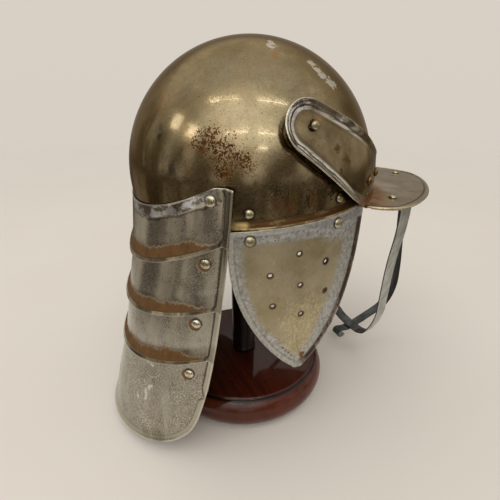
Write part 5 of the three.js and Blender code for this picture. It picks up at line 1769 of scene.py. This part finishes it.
# Stand
stand = {
    "baseRadius": 91.6, "baseHeight": 38.0, "plateRadius": 84.0, "columnRadius": 12.8,
    "capRadius": 34.0, "capGap": 0.7, "capCurve": 60.0,
    # light and dark tone, coat, and the way that the grain runs
    "mahogany": ((80, 33, 20), (42, 16, 10), 0.6, (0.12, 1, 1)),
    "blackWood": ((34, 17, 13), (17, 10, 9), 0.4, (1, 1, 0.12)),
}


def makeStand():
    half = stand["baseHeight"] / 2
    profile = [(0, 0), (stand["baseRadius"] - half - 3, 0)]
    for deg in np.linspace(88, -62, 40):
        profile.append((stand["baseRadius"] - half + half * math.cos(math.radians(deg)),
                        half - half * math.sin(math.radians(deg))))
    plate, high = stand["plateRadius"], stand["baseHeight"]
    profile += [(plate + 0.1, high - 2.0), (plate - 0.3, high - 2.35), (plate - 0.8, high - 2.2),
                (plate - 1.1, high - 1.5), (plate - 1.8, high - 0.6), (plate - 2.6, high - 0.15),
                (plate - 3.6, high), (0, high)]
    verts, faces = turnedMesh(profile, 192)
    base = makePiece("turnedBase", verts / 1000, faces, None,
                     woodFinish("glossy mahogany", *stand["mahogany"], plate))
    dress(base, "helmet_and_stand", ["stand_base"])
    reach = bowl["radius"] - sheet - stand["capGap"] - stand["capCurve"]
    capCentre = seat["height"] + math.sqrt(reach**2 - seat["forward"]**2)
    foot = stand["baseHeight"] + 0.3
    neck = capCentre + math.sqrt(stand["capCurve"]**2 - stand["capRadius"]**2) - 12
    column, cap = stand["columnRadius"], stand["capRadius"]
    profile = [(0, foot), (column + 0.6, foot), (column + 1, foot + 0.4), (column + 1, foot + 3),
               (column + 0.6, foot + 4.2), (column, foot + 5), (column, neck - 10)]
    for t in np.linspace(0.1, 1, 12):
        profile.append((column + (cap - 4 - column) * t**1.6, neck - 10 + 10 * t))
    profile += [(cap - 1.5, neck + 1.2), (cap - 0.3, neck + 2.8), (cap, neck + 4.4),
                (cap - 0.4, neck + 5.2)]
    start = math.acos((cap - 1) / stand["capCurve"])
    for t in np.linspace(0, 1, 16):
        up = start + (math.pi / 2 - start) * t
        profile.append((stand["capCurve"] * math.cos(up),
                        capCentre + stand["capCurve"] * math.sin(up)))
    profile[-1] = (0, profile[-1][1])
    verts, faces = turnedMesh(profile, 96)
    piece = makePiece("turnedColumn", verts / 1000, faces, None,
                      woodFinish("near black stained wood", *stand["blackWood"]))
    dress(piece, "helmet_and_stand", ["stand_column"])


# Camera, light and floor
studio = {
    "cameraPlace": (-0.3361, 0.1413, 0.3259), "lookWay": (0.8338, -0.3712, -0.4083), "lens": 27.07,
    "backHigh": (216, 208, 197), "backLow": (214, 206, 195),
    "ceiling": (236, 232, 226), "ceilingDim": (202, 197, 189), "wallLight": (212, 206, 198),
    "wallDark": (110, 101, 90), "beyond": (146, 139, 129), "roomLow": (106, 98, 88),
    "tableSteps": 96, "tableRings": (0.3, 0.6, 1.0, 1.5, 2.0, 2.5, 3.0),
    "tableFar": (168, 161, 150), "tableDark": (80, 73, 64), "glow": (0.9, 0.88, 0.83, 1.0),
    "lampTone": (1.0, 0.985, 0.955),
    # way from the bowl, distance, width, height, brightness, way of the long side
    "lamps": [
        ((-0.21, 0.42, 0.86), 1.3, 0.48, 0.014, 16.0, (-0.25, -0.31, 0.09)),
        ((-0.475, -0.09, 0.85), 1.3, 0.5, 0.014, 16.0, (-0.1, -0.4, -0.1)),
        ((-0.62, 0.46, 0.6), 1.3, 0.4, 0.014, 12.0, (-0.28, -0.6, 0)),
        ((-0.79, 0.1, 0.59), 1.3, 0.3, 0.014, 12.0, (-0.28, -0.6, 0)),
        ((-0.885, 0.19, 0.43), 1.3, 0.16, 0.016, 10.0, (-0.28, -0.6, 0)),
        ((-0.14, 0.84, 0.52), 1.3, 0.24, 0.2, 3.4, (0.9, 0.1, 0)),
        ((0.17, 0.83, 0.54), 1.3, 0.22, 0.22, 3.0, (0.9, 0.1, 0)),
    ],
}


def makeCamera(scene):
    for spare in [o for o in scene.objects if o.type in ("LIGHT", "CAMERA") or o.name == "Cube"]:
        bpy.data.objects.remove(spare)
    lens = bpy.data.cameras.new("photoView")
    lens.lens, lens.sensor_width, lens.clip_start = studio["lens"], 36.0, 0.01
    camera = bpy.data.objects.new("photoView", lens)
    scene.collection.objects.link(camera)
    camera.location = studio["cameraPlace"]
    camera.rotation_euler = Vector(studio["lookWay"]).to_track_quat("-Z", "Y").to_euler()
    scene.camera = camera
    scene.view_settings.view_transform = "Standard"


def makeTable(scene):
    steps, rings = studio["tableSteps"], studio["tableRings"]
    verts, faces = [(0, 0, 0)], []
    for r in rings:
        for n in range(steps):
            turn = 2 * math.pi * n / steps
            verts.append((r * math.sin(turn), r * math.cos(turn), 0))
    for n in range(steps):
        faces.append((0, 1 + (n + 1) % steps, 1 + n))
    for ring in range(len(rings) - 1):
        for n in range(steps):
            a, b = 1 + ring * steps + n, 1 + ring * steps + (n + 1) % steps
            faces.append((a, b, b + steps, a + steps))
    mesh = bpy.data.meshes.new("floor")
    mesh.from_pydata(verts, [], faces)
    mesh.update()
    floor = bpy.data.objects.new("floor", mesh)
    scene.collection.objects.link(floor)
    mesh.materials.append(floorFinish())
    floor.location.z = -0.0004


def makeRoom(scene):
    world = bpy.data.worlds.new("studio")
    scene.world = world
    world.use_nodes = True
    world.node_tree.nodes.clear()
    net = nodeNet(world.node_tree)
    way = net.add("ShaderNodeTexCoord").outputs["Generated"]
    up = net.add("ShaderNodeSeparateXYZ", {0: way}).outputs[2]
    plain = net.mix(net.fade(up, -0.35, 0.2), studio["backLow"], studio["backHigh"])
    # what the metal mirrors: a light ceiling, walls with tall darker shapes, a dim room below
    tall = net.noise(net.stretch(way, (1, 1, 0.3)), 2.6, 3.0, 0.6)
    walls = net.mix(net.fade(tall, 0.42, 0.58), studio["wallLight"], studio["wallDark"])
    broad = net.noise(way, 1.6, 2.0, 0.5)
    ceiling = net.mix(net.fade(broad, 0.35, 0.65), studio["ceiling"], studio["ceilingDim"])
    room = net.mix(net.fade(up, 0.3, 0.6), walls, ceiling)
    beyond = net.vector("DOT_PRODUCT", way, (0.91, -0.41, 0.0))
    darker = net.times(net.fade(beyond, 0.35, 0.85), net.fade(up, 0.7, 0.4))
    room = net.mix(darker, room, studio["beyond"])
    glow = net.fade(net.vector("DOT_PRODUCT", way, (-0.61, 0.35, 0.71)), 0.7, 1.0)
    room = net.mix(glow, room, studio["glow"], "ADD")
    room = net.mix(net.fade(up, 0.0, -0.12), room, studio["roomLow"])
    seen = net.add("ShaderNodeLightPath").outputs["Is Camera Ray"]
    back = net.add("ShaderNodeBackground", {"Color": net.mix(seen, room, plain), "Strength": 1.0})
    net.tree.links.new(back.outputs[0], net.add("ShaderNodeOutputWorld").inputs[0])


def makeLamps(scene):
    middle = level((0, 0, 0))
    for n, (way, far, wide, tall, bright, lean) in enumerate(studio["lamps"]):
        lamp = bpy.data.lights.new("softLight%d" % (n + 1), "AREA")
        lamp.shape, lamp.size, lamp.size_y = "RECTANGLE", wide, tall
        lamp.color = studio["lampTone"]
        lamp.energy = bright * math.pi * wide * tall
        body = bpy.data.objects.new(lamp.name, lamp)
        scene.collection.objects.link(body)
        body.visible_camera = False
        outward = Vector(way).normalized()
        side = (Vector(lean) - outward * Vector(lean).dot(outward)).normalized()
        turn = Matrix((side, outward.cross(side), outward)).transposed().to_4x4()
        body.matrix_world = Matrix.Translation(Vector(middle) + outward * far) @ turn


scene = bpy.context.scene
makeCamera(scene)
makeTable(scene)
makeRoom(scene)
makeLamps(scene)
print("studio, camera and floor made")
punchTree, ribbonTree, headTree = holeTree(), stripTree(), rivetTree()
makeBowl()
print("bowl made")
makeVisor(punchTree)
print("brow plate and peak made")
makeCheeks(punchTree)
print("cheek plates made")
makeTail()
print("tail made")
makeStrips(ribbonTree)
print("guard strips and leather tabs made")
makeRivets(headTree)
print("rivets made")
makeStand()
print("stand made")
bpy.context.view_layer.update()
